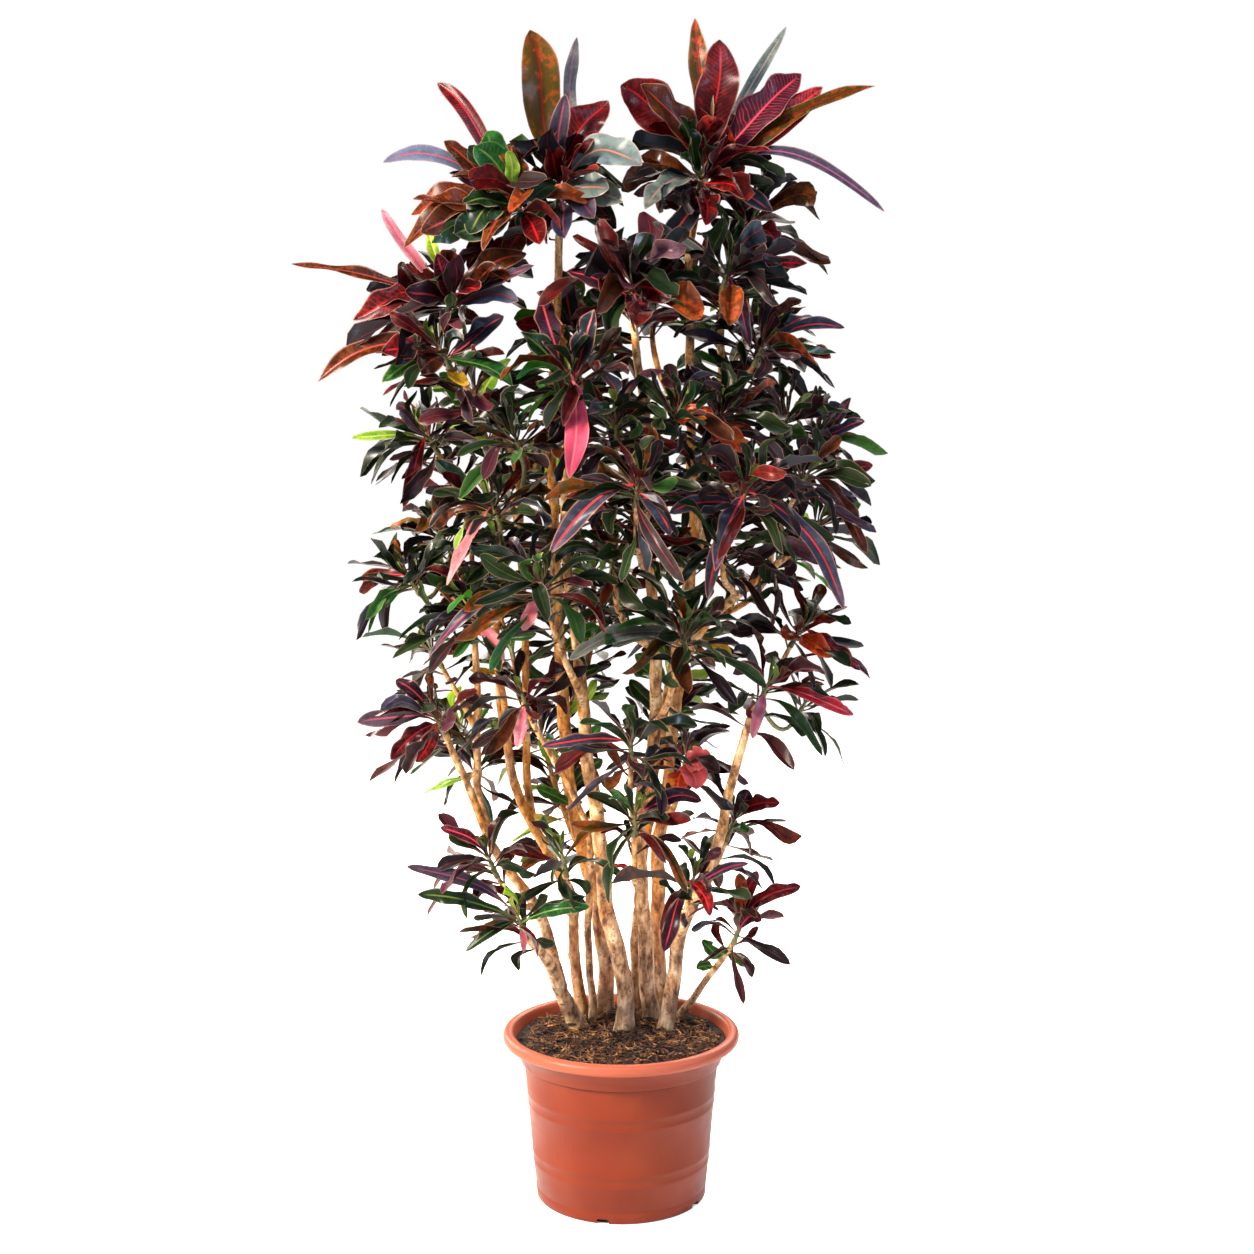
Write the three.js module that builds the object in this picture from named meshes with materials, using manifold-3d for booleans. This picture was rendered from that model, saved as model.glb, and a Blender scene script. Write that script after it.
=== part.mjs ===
// A potted croton: a branching shrub with waved red, bronze and dark green leaves in a plastic nursery pot.
// Millimetres, +Z up, origin at the centre of the pot's flat underside.
import * as THREE from "three";
import { mergeVertices } from "three/addons/utils/BufferGeometryUtils.js";
import Module from "manifold-3d";

const wasm = await Module();
wasm.setup();

// Driving dimensions
const seatGap = 0.35; // clearance between two pieces that touch
const potHeight = 229;
const potRimRadius = 160; // outside of the rolled rim
const potRimInnerRadius = 146;
const potRimDepth = 15; // height of the rolled rim
const potCollarRadius = 149; // outside, right under the rolled rim
const potNeckRadius = 134; // outside, under the collar
const potNeckHeight = 186;
const potFootRadius = 115;
const potFootRound = 1.5; // rounded edge of the foot
const potWall = 2.6;
const potFloor = 4;
const potSides = 36;
const soilSides = 24;
const notchCount = 5;
const notchFirstAngle = -12; // degrees from the front
const notchWidth = 16;
const notchHeight = 7;
const notchDepth = 12;
const soilTop = 213; // at the centre
const soilEdge = 204;
const soilPotGap = 0.6; // between the soil and the pot's wall
const rootDepth = 175; // height of the buried end of each stem
const stemSides = 6;
const twigSides = 4;
const twigEndRadius = 3.4;
const twigStartRadius = 5.5; // at most
const twigPiece = 150; // length of a straight piece of a bent twig
const shootLength = 34; // green growing tip that carries a head of leaves
const shootRadius = 3.9;
const shootTipRadius = 2.4;
const shootSides = 4;
const greenArmRadius = 3; // joins a second head to the first
const leafRib = 1.9; // thickness along the midrib
const leafFold = 0.22; // rise of the edges above the rib, per half width
const leafWave = 0.24; // height of the waves, per half width
const goldenAngle = 2.39996;
const leafReach = 16; // how far a leaf may pass the middle between two heads
const leafWoodGap = 5; // least distance between a leaf's middle line and wood

// Leaves that follow a head's spiral. Low leaves lie flat and droop, high ones stand up.
const lowestLift = -6; // degrees above the horizon
const liftSpan = 70;
const liftSpread = 18;
const lowestDroop = 0.3; // share of the leaf's length that its tip sinks
const droopSpan = 0.24;
const droopSpread = 0.16;
const slimmest = 0.125; // half width as a share of the length
const slimSpread = 0.045;
const rollSpread = 0.9; // radians that a blade is turned about its own length
// Where its first place isn't free, a leaf takes the next of these:
// turn round the shoot, share of its length.
const leafPlaces = [[0, 1], [0.5, 1], [-0.5, 1], [0, 0.8], [0.8, 0.8], [-0.8, 0.7], [0, 0.62]];

const up = new THREE.Vector3(0, 0, 1);
const vec = (x, y, z) => new THREE.Vector3(x, y, z);

// Colours, roughness and metalness
const look = {
  pot: { color: 0xc4603f, roughness: 0.45, metalness: 0 },
  soil: { color: 0x4a3226, roughness: 0.95, metalness: 0 },
  bark: { color: 0xc09a6c, roughness: 0.8, metalness: 0 },
  peel: { color: 0xc98a3e, roughness: 0.8, metalness: 0 },
  green: { color: 0x2c3d26, roughness: 0.35, metalness: 0 },
  dark: { color: 0x2a2330, roughness: 0.3, metalness: 0 },
  maroon: { color: 0x5a2026, roughness: 0.35, metalness: 0 },
  bronze: { color: 0x74402a, roughness: 0.35, metalness: 0 },
};

// Woody stems: the radius at the soil and at the top, and the points that the middle passes.
const stems = {
  A: { look: "bark", radius: [14, 5], path: [[-60, 25, 216], [-80, 5, 275], [-95, -30, 325], [-130, -100, 400]] },
  B: { look: "peel", radius: [10, 5], path: [[-55, 75, 216], [-65, 62, 315], [-65, 50, 385], [-75, -10, 435],
    [-75, -55, 470]] },
  C: { look: "bark", radius: [6, 4], path: [[-40, 50, 216], [-42, 55, 275], [-45, 48, 345], [-42, 15, 475],
    [-60, -15, 545], [-125, -60, 685]] },
  D: { look: "peel", radius: [12, 5], path: [[-20, 100, 216], [-22, 94, 290], [-34, 84, 385], [-62, 68, 500],
    [-75, 60, 585], [-85, 45, 780], [-90, 30, 915], [-90, 15, 1075], [-80, 0, 1345]] },
  E: { look: "bark", radius: [13, 5], path: [[5, 15, 216], [5, 12, 285], [-20, 0, 400], [-32, -20, 525],
    [-46, -34, 610], [-52, -42, 695], [-70, -75, 895], [-70, -85, 995], [-60, -90, 1095]] },
  F: { look: "bark", radius: [12, 5], path: [[42, 60, 216], [35, 52, 300], [25, 40, 465], [28, 34, 540],
    [42, 22, 620], [48, 6, 720], [42, -6, 810], [40, -20, 915], [35, -35, 1020], [15, -60, 1210]] },
  G: { look: "peel", radius: [11, 5], path: [[55, 100, 216], [50, 85, 440], [60, 78, 510], [80, 60, 710],
    [95, 52, 835], [95, 45, 965], [90, 20, 1230], [105, 0, 1360]] },
  H: { look: "bark", radius: [12, 5], path: [[62, 22, 216], [70, 18, 285], [80, 12, 355], [120, -10, 455],
    [145, -26, 565], [165, -46, 650], [185, -60, 695]] },
  I: { look: "bark", radius: [6, 4], path: [[78, 62, 216], [105, 45, 265], [135, 10, 320], [155, -60, 380]] },
  J: { look: "bark", radius: [8, 4.5], path: [[20, 115, 216], [22, 104, 350], [42, 94, 535], [85, 86, 790],
    [110, 72, 940], [130, 40, 1100], [135, -40, 1230]] },
};

// Side arms: the stem they leave, the height where they leave it, their radius and their points.
const arms = {
  Aa: { on: "A", at: 285, radius: [9, 4.5], path: [[-95, 30, 330], [-120, 40, 390], [-175, 10, 485],
    [-240, -40, 655]] },
  Ab: { on: "Aa", at: 505, radius: [6, 4], path: [[-195, 28, 560], [-195, 40, 620], [-200, 40, 790],
    [-230, 0, 885]] },
  Ba: { on: "B", at: 372, radius: [8, 4], path: [[-85, 60, 430], [-105, 50, 470], [-145, 20, 570], [-165, 5, 755],
    [-160, -80, 930]] },
  Bb: { on: "Ba", at: 515, radius: [6, 4], path: [[-128, 50, 570], [-130, 65, 640], [-135, 35, 890], [-145, 0, 1010],
    [-225, -70, 1130]] },
  Ga: { on: "G", at: 715, radius: [7, 4], path: [[120, 40, 780], [160, 20, 820], [254, -10, 905]] },
};

// Heads of leaves: the middle, what carries it, the height where its twig leaves that stem,
// the number of leaves besides the large ones, their length and the colour.
// A head on another head shares its node.
const heads = {
  T1: { at: [-80, 0, 1345], on: "D", leaves: 4, size: 86, look: "maroon" },
  T2: { at: [-130, -40, 1318], on: "T1", leaves: 2, size: 86, look: "maroon" },
  T3: { at: [105, 0, 1360], on: "G", leaves: 4, size: 92, look: "maroon" },
  T4: { at: [170, 35, 1300], on: "R1", leaves: 5, size: 82, look: "maroon" },
  L1: { at: [-215, -20, 1195], on: "L2", leaves: 4, size: 92, look: "maroon" },
  L2: { at: [-225, -70, 1130], on: "Bb", leaves: 3, size: 82, look: "maroon" },
  C1: { at: [15, -60, 1210], on: "F", leaves: 8, size: 94, look: "maroon" },
  R1: { at: [135, -40, 1230], on: "J", leaves: 5, size: 86, look: "dark" },
  R2: { at: [180, -20, 1135], on: "J", from: 1060, leaves: 5, size: 86, look: "dark" },
  C2: { at: [-60, -90, 1095], on: "E", leaves: 7, size: 92, look: "green" },
  L3: { at: [-250, 10, 1020], on: "Ab", from: 800, leaves: 7, size: 84, look: "dark" },
  L4: { at: [-160, -80, 930], on: "Ba", leaves: 5, size: 92, look: "green" },
  C3: { at: [-130, -80, 1015], on: "L4", leaves: 5, size: 84, look: "green" },
  M1: { at: [-5, -110, 1035], on: "F", from: 950, leaves: 5, size: 88, look: "dark" },
  M2: { at: [20, -170, 960], on: "F", from: 850, leaves: 6, size: 92, look: "green" },
  M3: { at: [70, -115, 1045], on: "M1", leaves: 5, size: 88, look: "bronze" },
  M4: { at: [125, -90, 1047], on: "G", from: 965, leaves: 6, size: 86, look: "bronze" },
  R3: { at: [212, -30, 1041], on: "J", from: 940, leaves: 6, size: 88, look: "bronze" },
  R4: { at: [256, 30, 1015], on: "R3", leaves: 5, size: 76, look: "dark" },
  R5: { at: [151, -160, 952], on: "Ga", from: 815, leaves: 6, size: 96, look: "dark" },
  R6: { at: [232, -80, 970], on: "Ga", from: 850, leaves: 6, size: 80, look: "dark" },
  R7: { at: [254, -10, 905], on: "Ga", leaves: 5, size: 78, look: "dark" },
  L5: { at: [-230, 0, 885], on: "Ab", leaves: 6, size: 88, look: "green" },
  L6: { at: [-272, -40, 838], on: "L5", leaves: 5, size: 80, look: "green" },
  M5: { at: [-96, -150, 838], on: "E", from: 690, leaves: 7, size: 92, look: "green" },
  M6: { at: [-11, -110, 872], on: "F", from: 745, leaves: 6, size: 86, look: "green" },
  M7: { at: [80, -120, 769], on: "F", from: 640, leaves: 6, size: 86, look: "green" },
  R8: { at: [185, -60, 695], on: "H", leaves: 5, size: 86, look: "maroon" },
  R9: { at: [235, 15, 764], on: "H", from: 640, leaves: 5, size: 84, look: "maroon" },
  R10: { at: [240, 0, 665], on: "R8", leaves: 4, size: 76, look: "green" },
  L7: { at: [-240, -40, 655], on: "Aa", leaves: 6, size: 84, look: "maroon" },
  L8: { at: [-250, 25, 735], on: "Ab", from: 630, leaves: 5, size: 80, look: "green" },
  L9: { at: [-184, -60, 790], on: "Ba", from: 650, leaves: 5, size: 84, look: "green" },
  L10: { at: [-215, 95, 615], on: "Ab", from: 560, leaves: 5, size: 78, look: "green" },
  M8: { at: [-125, -60, 685], on: "C", leaves: 5, size: 78, look: "maroon" },
  M9: { at: [13, -125, 632], on: "F", from: 500, leaves: 7, size: 86, look: "dark" },
  M10: { at: [18, -130, 540], on: "F", from: 420, leaves: 6, size: 82, look: "green" },
  M11: { at: [85, 0, 590], on: "G", from: 500, leaves: 5, size: 84, look: "bronze" },
  B1: { at: [-130, -100, 400], on: "A", leaves: 2, size: 84, look: "green" },
  B2: { at: [-170, -55, 468], on: "Aa", from: 385, leaves: 6, size: 80, look: "maroon" },
  B3: { at: [-75, -55, 470], on: "B", leaves: 5, size: 76, look: "green" },
  B4: { at: [92, -90, 448], on: "H", from: 355, leaves: 4, size: 78, look: "maroon" },
  B5: { at: [155, -60, 380], on: "I", leaves: 2, size: 68, look: "maroon" },
  B6: { at: [150, 45, 495], on: "H", from: 410, leaves: 3, size: 78, look: "maroon" },
  K1: { at: [-195, 110, 1050], on: "Bb", from: 890, leaves: 5, size: 88, look: "green" },
  K2: { at: [-60, 115, 1160], on: "D", from: 1000, leaves: 5, size: 90, look: "dark" },
  K3: { at: [45, 115, 1215], on: "G", from: 1040, leaves: 5, size: 88, look: "maroon" },
  K4: { at: [175, 105, 1170], on: "G", from: 1060, leaves: 5, size: 88, look: "dark" },
  K5: { at: [-115, 150, 960], on: "D", from: 780, leaves: 5, size: 90, look: "green" },
  K6: { at: [20, 155, 1010], on: "G", from: 835, leaves: 5, size: 90, look: "green" },
  K7: { at: [140, 165, 960], on: "J", from: 790, leaves: 5, size: 90, look: "green" },
  K8: { at: [225, 115, 870], on: "Ga", from: 780, leaves: 5, size: 88, look: "green" },
  K9: { at: [-40, 160, 830], on: "D", from: 640, leaves: 5, size: 86, look: "green" },
  K10: { at: [100, 170, 745], on: "J", from: 580, leaves: 5, size: 86, look: "maroon" },
  K11: { at: [-180, 130, 805], on: "Bb", from: 640, leaves: 5, size: 86, look: "green" },
  K12: { at: [-110, 125, 600], on: "D", from: 440, leaves: 5, size: 80, look: "maroon" },
};

// Large leaves: the head, the tip's place, the rise of the leaf's middle and its width.
const largeLeaves = [
  ["T1", -115, -20, 1540, 10, 46], ["T1", -55, 20, 1540, 0, 16], ["T1", -70, -50, 1455, 5, 22],
  ["T1", -25, -30, 1460, 5, 48], ["T1", 25, -70, 1365, 45, 40],
  ["T2", -300, -50, 1370, 28, 20], ["T2", -170, -60, 1410, 8, 36], ["T2", -140, -80, 1380, 5, 16],
  ["T2", -220, -20, 1360, 10, 28], ["T2", -275, -30, 1315, 10, 38], ["T2", -280, -60, 1265, 25, 32],
  ["T2", -195, -100, 1285, 15, 40], ["T2", -170, -110, 1255, 15, 24], ["T2", -240, 0, 1480, 25, 20],
  ["T3", -5, -20, 1470, 10, 54], ["T3", 25, -60, 1465, 10, 38], ["T3", 95, 0, 1560, 4, 24],
  ["T3", 125, -20, 1530, 6, 46], ["T3", 215, 40, 1560, 5, 15], ["T3", 235, 10, 1495, 10, 44],
  ["T3", 260, -20, 1475, 10, 38], ["T3", 325, -30, 1465, 8, 25], ["T3", 190, -60, 1380, 12, 28],
  ["T3", 335, -40, 1310, 40, 20], ["T3", 75, -70, 1425, 5, 28], ["T3", 30, -90, 1305, 15, 26],
  ["L1", -425, -20, 1250, -5, 15], ["L1", -345, -50, 1175, 15, 38], ["L1", -110, -60, 1245, 10, 24],
  ["L1", -155, -70, 1240, 8, 22], ["L1", -250, 0, 1325, 0, 13], ["L1", -310, 0, 1320, 8, 14],
  ["L2", -305, -70, 1130, 8, 30], ["L2", -385, -60, 1095, 15, 28], ["L2", -300, -100, 1095, 10, 26],
  ["L2", -135, -100, 1090, 8, 32],
  ["C2", -60, -140, 980, 5, 30],
  ["L3", -280, -40, 935, 15, 18], ["L3", -350, -20, 1025, 10, 12],
  ["R1", 40, -50, 1295, 8, 16], ["R1", 165, -80, 1140, 12, 20], ["R1", 240, -40, 1250, 8, 24],
  ["R2", 290, -30, 1170, 8, 18], ["R2", 270, -40, 1125, 8, 22], ["R2", 250, 0, 1185, 6, 18],
  ["M2", -90, -190, 885, 14, 26], ["M2", 60, -210, 910, 8, 22],
  ["M5", -240, -130, 750, 25, 17],
  ["M7", -65, -170, 755, 12, 22],
  ["R5", 275, -190, 815, 25, 30], ["R5", 115, -200, 865, 15, 26], ["R5", 105, -190, 830, 12, 24],
  ["R5", 60, -190, 935, 8, 20],
  ["R6", 320, -60, 875, 12, 22], ["R6", 325, -60, 990, 6, 20],
  ["R4", 320, 0, 1045, 5, 18], ["R4", 305, 20, 1075, 5, 18],
  ["L4", -220, -110, 840, 10, 16],
  ["L6", -340, -30, 840, 6, 16],
  ["R8", 305, -50, 665, 8, 18], ["R8", 170, -90, 640, 8, 16],
  ["R9", 315, -20, 720, 6, 20],
  ["L7", -345, -50, 655, 8, 26], ["L7", -295, -40, 710, 6, 20], ["L7", -300, -60, 605, 10, 22],
  ["M9", -100, -150, 640, 6, 16],
  ["M10", 105, -140, 575, 8, 24],
  ["B2", -235, -70, 520, 6, 16],
  ["B1", -275, -110, 480, 12, 30], ["B1", -260, -130, 445, 10, 32], ["B1", -200, -140, 375, 10, 22],
  ["B1", -40, -130, 430, 10, 30], ["B1", -45, -110, 440, 10, 24], ["B1", -125, -110, 365, 6, 10],
  ["B4", 55, -130, 370, 6, 22], ["B4", 115, -150, 425, 8, 20], ["B4", 165, -100, 480, 5, 12],
  ["B5", 235, -70, 445, 6, 20], ["B5", 180, -40, 455, 5, 18], ["B5", 155, -80, 460, 4, 18],
  ["B5", 185, -90, 400, 10, 18],
  ["B6", 215, 30, 535, 4, 22], ["B6", 175, 50, 545, 5, 24], ["B6", 170, 10, 500, 4, 18],
];

// A repeatable row of draws between 0 and 1.
function draws(seed) {
  let state = seed;
  return () => {
    state = (state * 16807) % 2147483647;
    return state / 2147483647;
  };
}

// Solids
function solid(geometry) {
  const bare = new THREE.BufferGeometry();
  bare.setAttribute("position", geometry.getAttribute("position"));
  bare.setIndex(geometry.getIndex());
  const merged = mergeVertices(bare, 1e-3);
  return new wasm.Manifold(new wasm.Mesh({
    numProp: 3,
    vertProperties: new Float32Array(merged.getAttribute("position").array),
    triVerts: new Uint32Array(merged.getIndex().array),
  }));
}

function geometryOf(body) {
  const mesh = body.getMesh();
  const geometry = new THREE.BufferGeometry();
  geometry.setAttribute("position", new THREE.BufferAttribute(new Float32Array(mesh.vertProperties), 3));
  geometry.setIndex(new THREE.BufferAttribute(new Uint32Array(mesh.triVerts), 1));
  return geometry;
}

function joined(bodies) {
  return bodies.reduce((whole, body) => whole.add(body));
}

// A limb: a cylinder bent along its points, thinner from one to the next.
// Its last face can lie square to endAxis.
function limb(points, radii, sides, endAxis) {
  const steps = points.length - 1;
  const geometry = new THREE.CylinderGeometry(1, 1, 1, sides, steps);
  const chord = points[steps].clone().sub(points[0]).normalize();
  const side = Math.abs(chord.x) > 0.8 ? vec(0, 1, 0) : vec(1, 0, 0);
  const frames = points.map((point, i) => {
    const before = points[Math.max(i - 1, 0)];
    const after = points[Math.min(i + 1, steps)];
    const along = i === steps && endAxis ? endAxis : after.clone().sub(before).normalize();
    const across = side.clone().addScaledVector(along, -side.dot(along)).normalize();
    return { across, third: across.clone().cross(along) };
  });
  const position = geometry.getAttribute("position");
  for (let i = 0; i < position.count; i += 1) {
    const ring = Math.round((position.getY(i) + 0.5) * steps);
    const place = points[ring].clone();
    place.addScaledVector(frames[ring].across, position.getX(i) * radii[ring]);
    place.addScaledVector(frames[ring].third, position.getZ(i) * radii[ring]);
    position.setXYZ(i, place.x, place.y, place.z);
  }
  return solid(geometry);
}

// Radii along a path, from the first to the last by length.
function taper(points, first, last) {
  const reach = [0];
  for (let i = 1; i < points.length; i += 1) {
    reach.push(reach[i - 1] + points[i].distanceTo(points[i - 1]));
  }
  return reach.map((length) => first + (last - first) * (length / reach[reach.length - 1]));
}

// The point of a path at a height, and the radius there.
function pointAt(route, height) {
  for (let i = 1; i < route.points.length; i += 1) {
    const low = route.points[i - 1];
    const high = route.points[i];
    if (height <= high.z) {
      const share = Math.max((height - low.z) / (high.z - low.z), 0);
      const radius = route.radii[i - 1] + (route.radii[i] - route.radii[i - 1]) * share;
      return { place: low.clone().lerp(high, share), radius };
    }
  }
  throw new Error("no such height on the stem");
}

// Outer heads lean outwards.
const leanReach = 420;
function headAxis(place) {
  return vec(place.x / leanReach, place.y / leanReach, 1).normalize();
}

function headPlace(name) {
  return vec(...heads[name].at);
}

// The lower end of a head's green shoot.
function shootFoot(name) {
  const place = headPlace(name);
  return place.addScaledVector(headAxis(place), -shootLength * 0.55);
}

// Where wood ends just under the shoot.
function woodEnd(name) {
  return shootFoot(name).addScaledVector(headAxis(headPlace(name)), -seatGap);
}

// A twig's points from where it leaves its carrier up to its end.
function twigPoints(start, end, axis) {
  const middle = end.clone().addScaledVector(axis, -0.5 * end.distanceTo(start));
  const pieces = 2 + Math.floor(end.distanceTo(start) / twigPiece);
  return new THREE.QuadraticBezierCurve3(start, middle, end).getPoints(pieces);
}

// Every route of wood, with its points and radii.
function woodRoutes() {
  const routes = {};
  const endOf = (name) => Object.keys(heads).find((head) => heads[head].on === name && !heads[head].from);
  const addRoute = (name, points, radius, body) => {
    const head = endOf(name);
    if (head) points[points.length - 1] = woodEnd(head);
    const endAxis = head ? headAxis(headPlace(head)) : undefined;
    routes[name] = { points, radii: taper(points, ...radius), body, sides: stemSides, endAxis };
  };
  for (const [name, stem] of Object.entries(stems)) {
    const points = stem.path.map((place) => vec(...place));
    points.unshift(vec(points[0].x, points[0].y, rootDepth));
    addRoute(name, points, stem.radius, name);
  }
  for (const [name, arm] of Object.entries(arms)) {
    const points = arm.path.map((place) => vec(...place));
    points.unshift(pointAt(routes[arm.on], arm.at).place);
    addRoute(name, points, arm.radius, routes[arm.on].body);
  }
  for (const [name, head] of Object.entries(heads)) {
    if (!head.from) continue;
    const root = pointAt(routes[head.on], head.from);
    const endAxis = headAxis(headPlace(name));
    const points = twigPoints(root.place, woodEnd(name), endAxis);
    const radii = taper(points, Math.min(root.radius * 0.85, twigStartRadius), twigEndRadius);
    routes["twig" + name] = { points, radii, body: routes[head.on].body, sides: twigSides, endAxis };
  }
  return routes;
}

// Leaf blades: stations along the leaf, as the share of its length and the share of its half width.
const smallBlade = [[0.38, 0.96], [0.74, 0.8]];
const broadLeaf = 19; // mm; narrower ones take the plainer form
const largeBlade = [[0.15, 0.2], [0.48, 1], [0.78, 0.74]];

// A blade with a raised edge on both sides and waves that swap sides from station to station.
// It runs from root by reach, and sinks by sag towards its tip.
function blade({ root, reach, sag, across, halfWidth, stations }) {
  const corners = [root];
  const centre = (share) => root.clone().addScaledVector(reach, share).addScaledVector(up, -sag * share * share);
  stations.forEach(([share, width], i) => {
    const along = reach.clone().addScaledVector(up, -2 * sag * share).normalize();
    const face = along.clone().cross(across).normalize();
    const half = halfWidth * width;
    const rib = leafRib * (1 - 0.4 * share);
    const wave = leafWave * (i % 2 ? 1 : -1);
    const middle = centre(share);
    corners.push(
      middle.clone().addScaledVector(across, half).addScaledVector(face, half * (leafFold + wave)),
      middle.clone().addScaledVector(face, rib / 2),
      middle.clone().addScaledVector(across, -half).addScaledVector(face, half * (leafFold - wave)),
      middle.clone().addScaledVector(face, -rib / 2),
    );
  });
  const tip = corners.length;
  corners.push(centre(1));
  const faces = [];
  for (let j = 0; j < 4; j += 1) {
    const beside = (j + 1) % 4;
    faces.push(0, 1 + beside, 1 + j);
    for (let i = 0; i < stations.length - 1; i += 1) {
      const low = 1 + i * 4 + j;
      const next = 1 + i * 4 + beside;
      if (j % 2 === 0) faces.push(low, next, next + 4, low, next + 4, low + 4);
      else faces.push(low, next, low + 4, next, next + 4, low + 4);
    }
    faces.push(tip - 4 + j, tip - 4 + beside, tip);
  }
  const geometry = new THREE.BufferGeometry().setFromPoints(corners);
  geometry.setIndex(faces);
  return solid(geometry);
}

// The node that a head belongs to is named after the first head on its wood.
function nodeHead(name) {
  return heads[heads[name].on] ? heads[name].on : name;
}

// How far a point lies past the middle between its own head and the nearest head of another node.
function pastMiddle(name, point) {
  const own = headPlace(name);
  let most = -Infinity;
  for (const other of Object.keys(heads)) {
    if (nodeHead(other) === nodeHead(name)) continue;
    const away = headPlace(other).sub(own);
    const middle = own.clone().addScaledVector(away, 0.5);
    most = Math.max(most, point.clone().sub(middle).dot(away.normalize()));
  }
  return most;
}

// How close a leaf's middle line comes to wood, past the part near its root.
function woodClearance(root, reach, sag, routes) {
  let least = Infinity;
  for (const share of [0.4, 0.6, 0.8, 1]) {
    const point = root.clone().addScaledVector(reach, share).addScaledVector(up, -sag * share * share);
    for (const route of Object.values(routes)) {
      for (let i = 1; i < route.points.length; i += 1) {
        const line = new THREE.Line3(route.points[i - 1], route.points[i]);
        const near = line.closestPointToPoint(point, true, vec(0, 0, 0));
        least = Math.min(least, near.distanceTo(point) - route.radii[i - 1]);
      }
    }
  }
  return least;
}

// One leaf of a spiral at an angle round its shoot, or nothing where it would meet a neighbour or wood.
function leafAt(name, root, frame, angle, form, routes) {
  const { lift, length, droop, roll, slim } = form;
  const out = frame.first.clone().multiplyScalar(Math.cos(angle)).addScaledVector(frame.second, Math.sin(angle));
  const heading = out.clone().multiplyScalar(Math.cos(lift)).addScaledVector(frame.axis, Math.sin(lift));
  const reach = heading.clone().multiplyScalar(length * (1 + droop * 0.35));
  const sag = droop * length;
  const tip = root.clone().add(reach).addScaledVector(up, -sag);
  if (pastMiddle(name, tip) > leafReach) return undefined;
  if (woodClearance(root, reach, sag, routes) < leafWoodGap) return undefined;
  const across = frame.axis.clone().cross(out).applyAxisAngle(heading, roll).normalize();
  return { root, reach, sag, across, halfWidth: slim, stations: smallBlade };
}

// The leaves of a head that follow its spiral, low ones flat and drooping, high ones upright.
function spiralLeaves(name, index, routes) {
  const head = heads[name];
  const place = headPlace(name);
  const axis = headAxis(place);
  const first = vec(0, 1, 0).cross(axis).normalize();
  const frame = { axis, first, second: axis.clone().cross(first) };
  const draw = draws(1009 + 77 * index);
  const leaves = [];
  for (let k = 0; k < head.leaves; k += 1) {
    const rise = (k + 0.5) / head.leaves;
    const [turn, tilt, grow, broad, bend, roll] = [draw(), draw(), draw(), draw(), draw(), draw()];
    const longest = head.size * (0.8 + 0.35 * Math.sin(Math.PI * (0.2 + 0.65 * rise))) * (0.85 + 0.3 * grow);
    const root = place.clone().addScaledVector(axis, shootLength * (-0.38 + 0.7 * rise));
    for (const [twist, shrink] of leafPlaces) {
      const angle = index * 1.7 + k * goldenAngle + 0.6 * (turn - 0.5) + twist;
      const form = {
        lift: THREE.MathUtils.degToRad(lowestLift + liftSpan * rise ** 1.1 + liftSpread * (tilt - 0.5)),
        length: longest * shrink,
        droop: lowestDroop - droopSpan * rise + droopSpread * bend,
        roll: rollSpread * (roll - 0.5),
        slim: longest * shrink ** 0.5 * (slimmest + slimSpread * broad),
      };
      const leaf = leafAt(name, root, frame, angle, form, routes);
      if (leaf) {
        leaves.push(leaf);
        break;
      }
    }
  }
  return leaves;
}

// The large leaves of a head, which face the front and the light.
const facing = vec(0, -1, 0.6);
function placedLeaves(name) {
  const place = headPlace(name);
  const rows = largeLeaves.filter((row) => row[0] === name);
  return rows.map(([, x, y, z, rise, width], i) => {
    const root = place.clone().addScaledVector(headAxis(place), shootLength * (0.3 - (0.6 * i) / rows.length));
    const sag = 4 * rise;
    const reach = vec(x, y, z).sub(root).addScaledVector(up, sag);
    const across = facing.clone().cross(reach).normalize();
    const stations = width > broadLeaf ? largeBlade : smallBlade;
    return { root, reach, sag, across, halfWidth: width / 2, stations };
  });
}

// A body turned from a profile of radius and height, from the axis out and back.
function turned(profile, sides) {
  const outline = profile.map(([radius, height]) => new THREE.Vector2(radius, height));
  return solid(new THREE.LatheGeometry(outline, sides).rotateX(Math.PI / 2));
}

// Pot with a rolled rim and drainage notches in its foot
function potBody() {
  const body = turned([
    [0, 0], [potFootRadius - potFootRound, 0], [potFootRadius, potFootRound],
    [potNeckRadius, potNeckHeight], [potNeckRadius + 2.5, potNeckHeight + 3],
    [potCollarRadius, potHeight - potRimDepth], [potRimRadius - 3.5, potHeight - potRimDepth + 1],
    [potRimRadius, potHeight - potRimDepth / 2], [potRimRadius - 3, potHeight - 2],
    [potRimRadius - 8, potHeight], [potRimInnerRadius, potHeight - 2], [potRimInnerRadius - 8, potHeight - 29],
    [potNeckRadius - potWall, potNeckHeight], [potFootRadius - potWall, potFloor], [0, potFloor],
  ], potSides);
  const notches = Array.from({ length: notchCount }, (_, i) => {
    const angle = THREE.MathUtils.degToRad(notchFirstAngle + (360 / notchCount) * i);
    const box = new THREE.BoxGeometry(notchWidth, notchDepth, notchHeight * 2);
    box.rotateZ(angle);
    box.translate(Math.sin(angle) * (potFootRadius - 1), -Math.cos(angle) * (potFootRadius - 1), 0);
    return solid(box);
  });
  return body.subtract(joined(notches));
}

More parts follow.
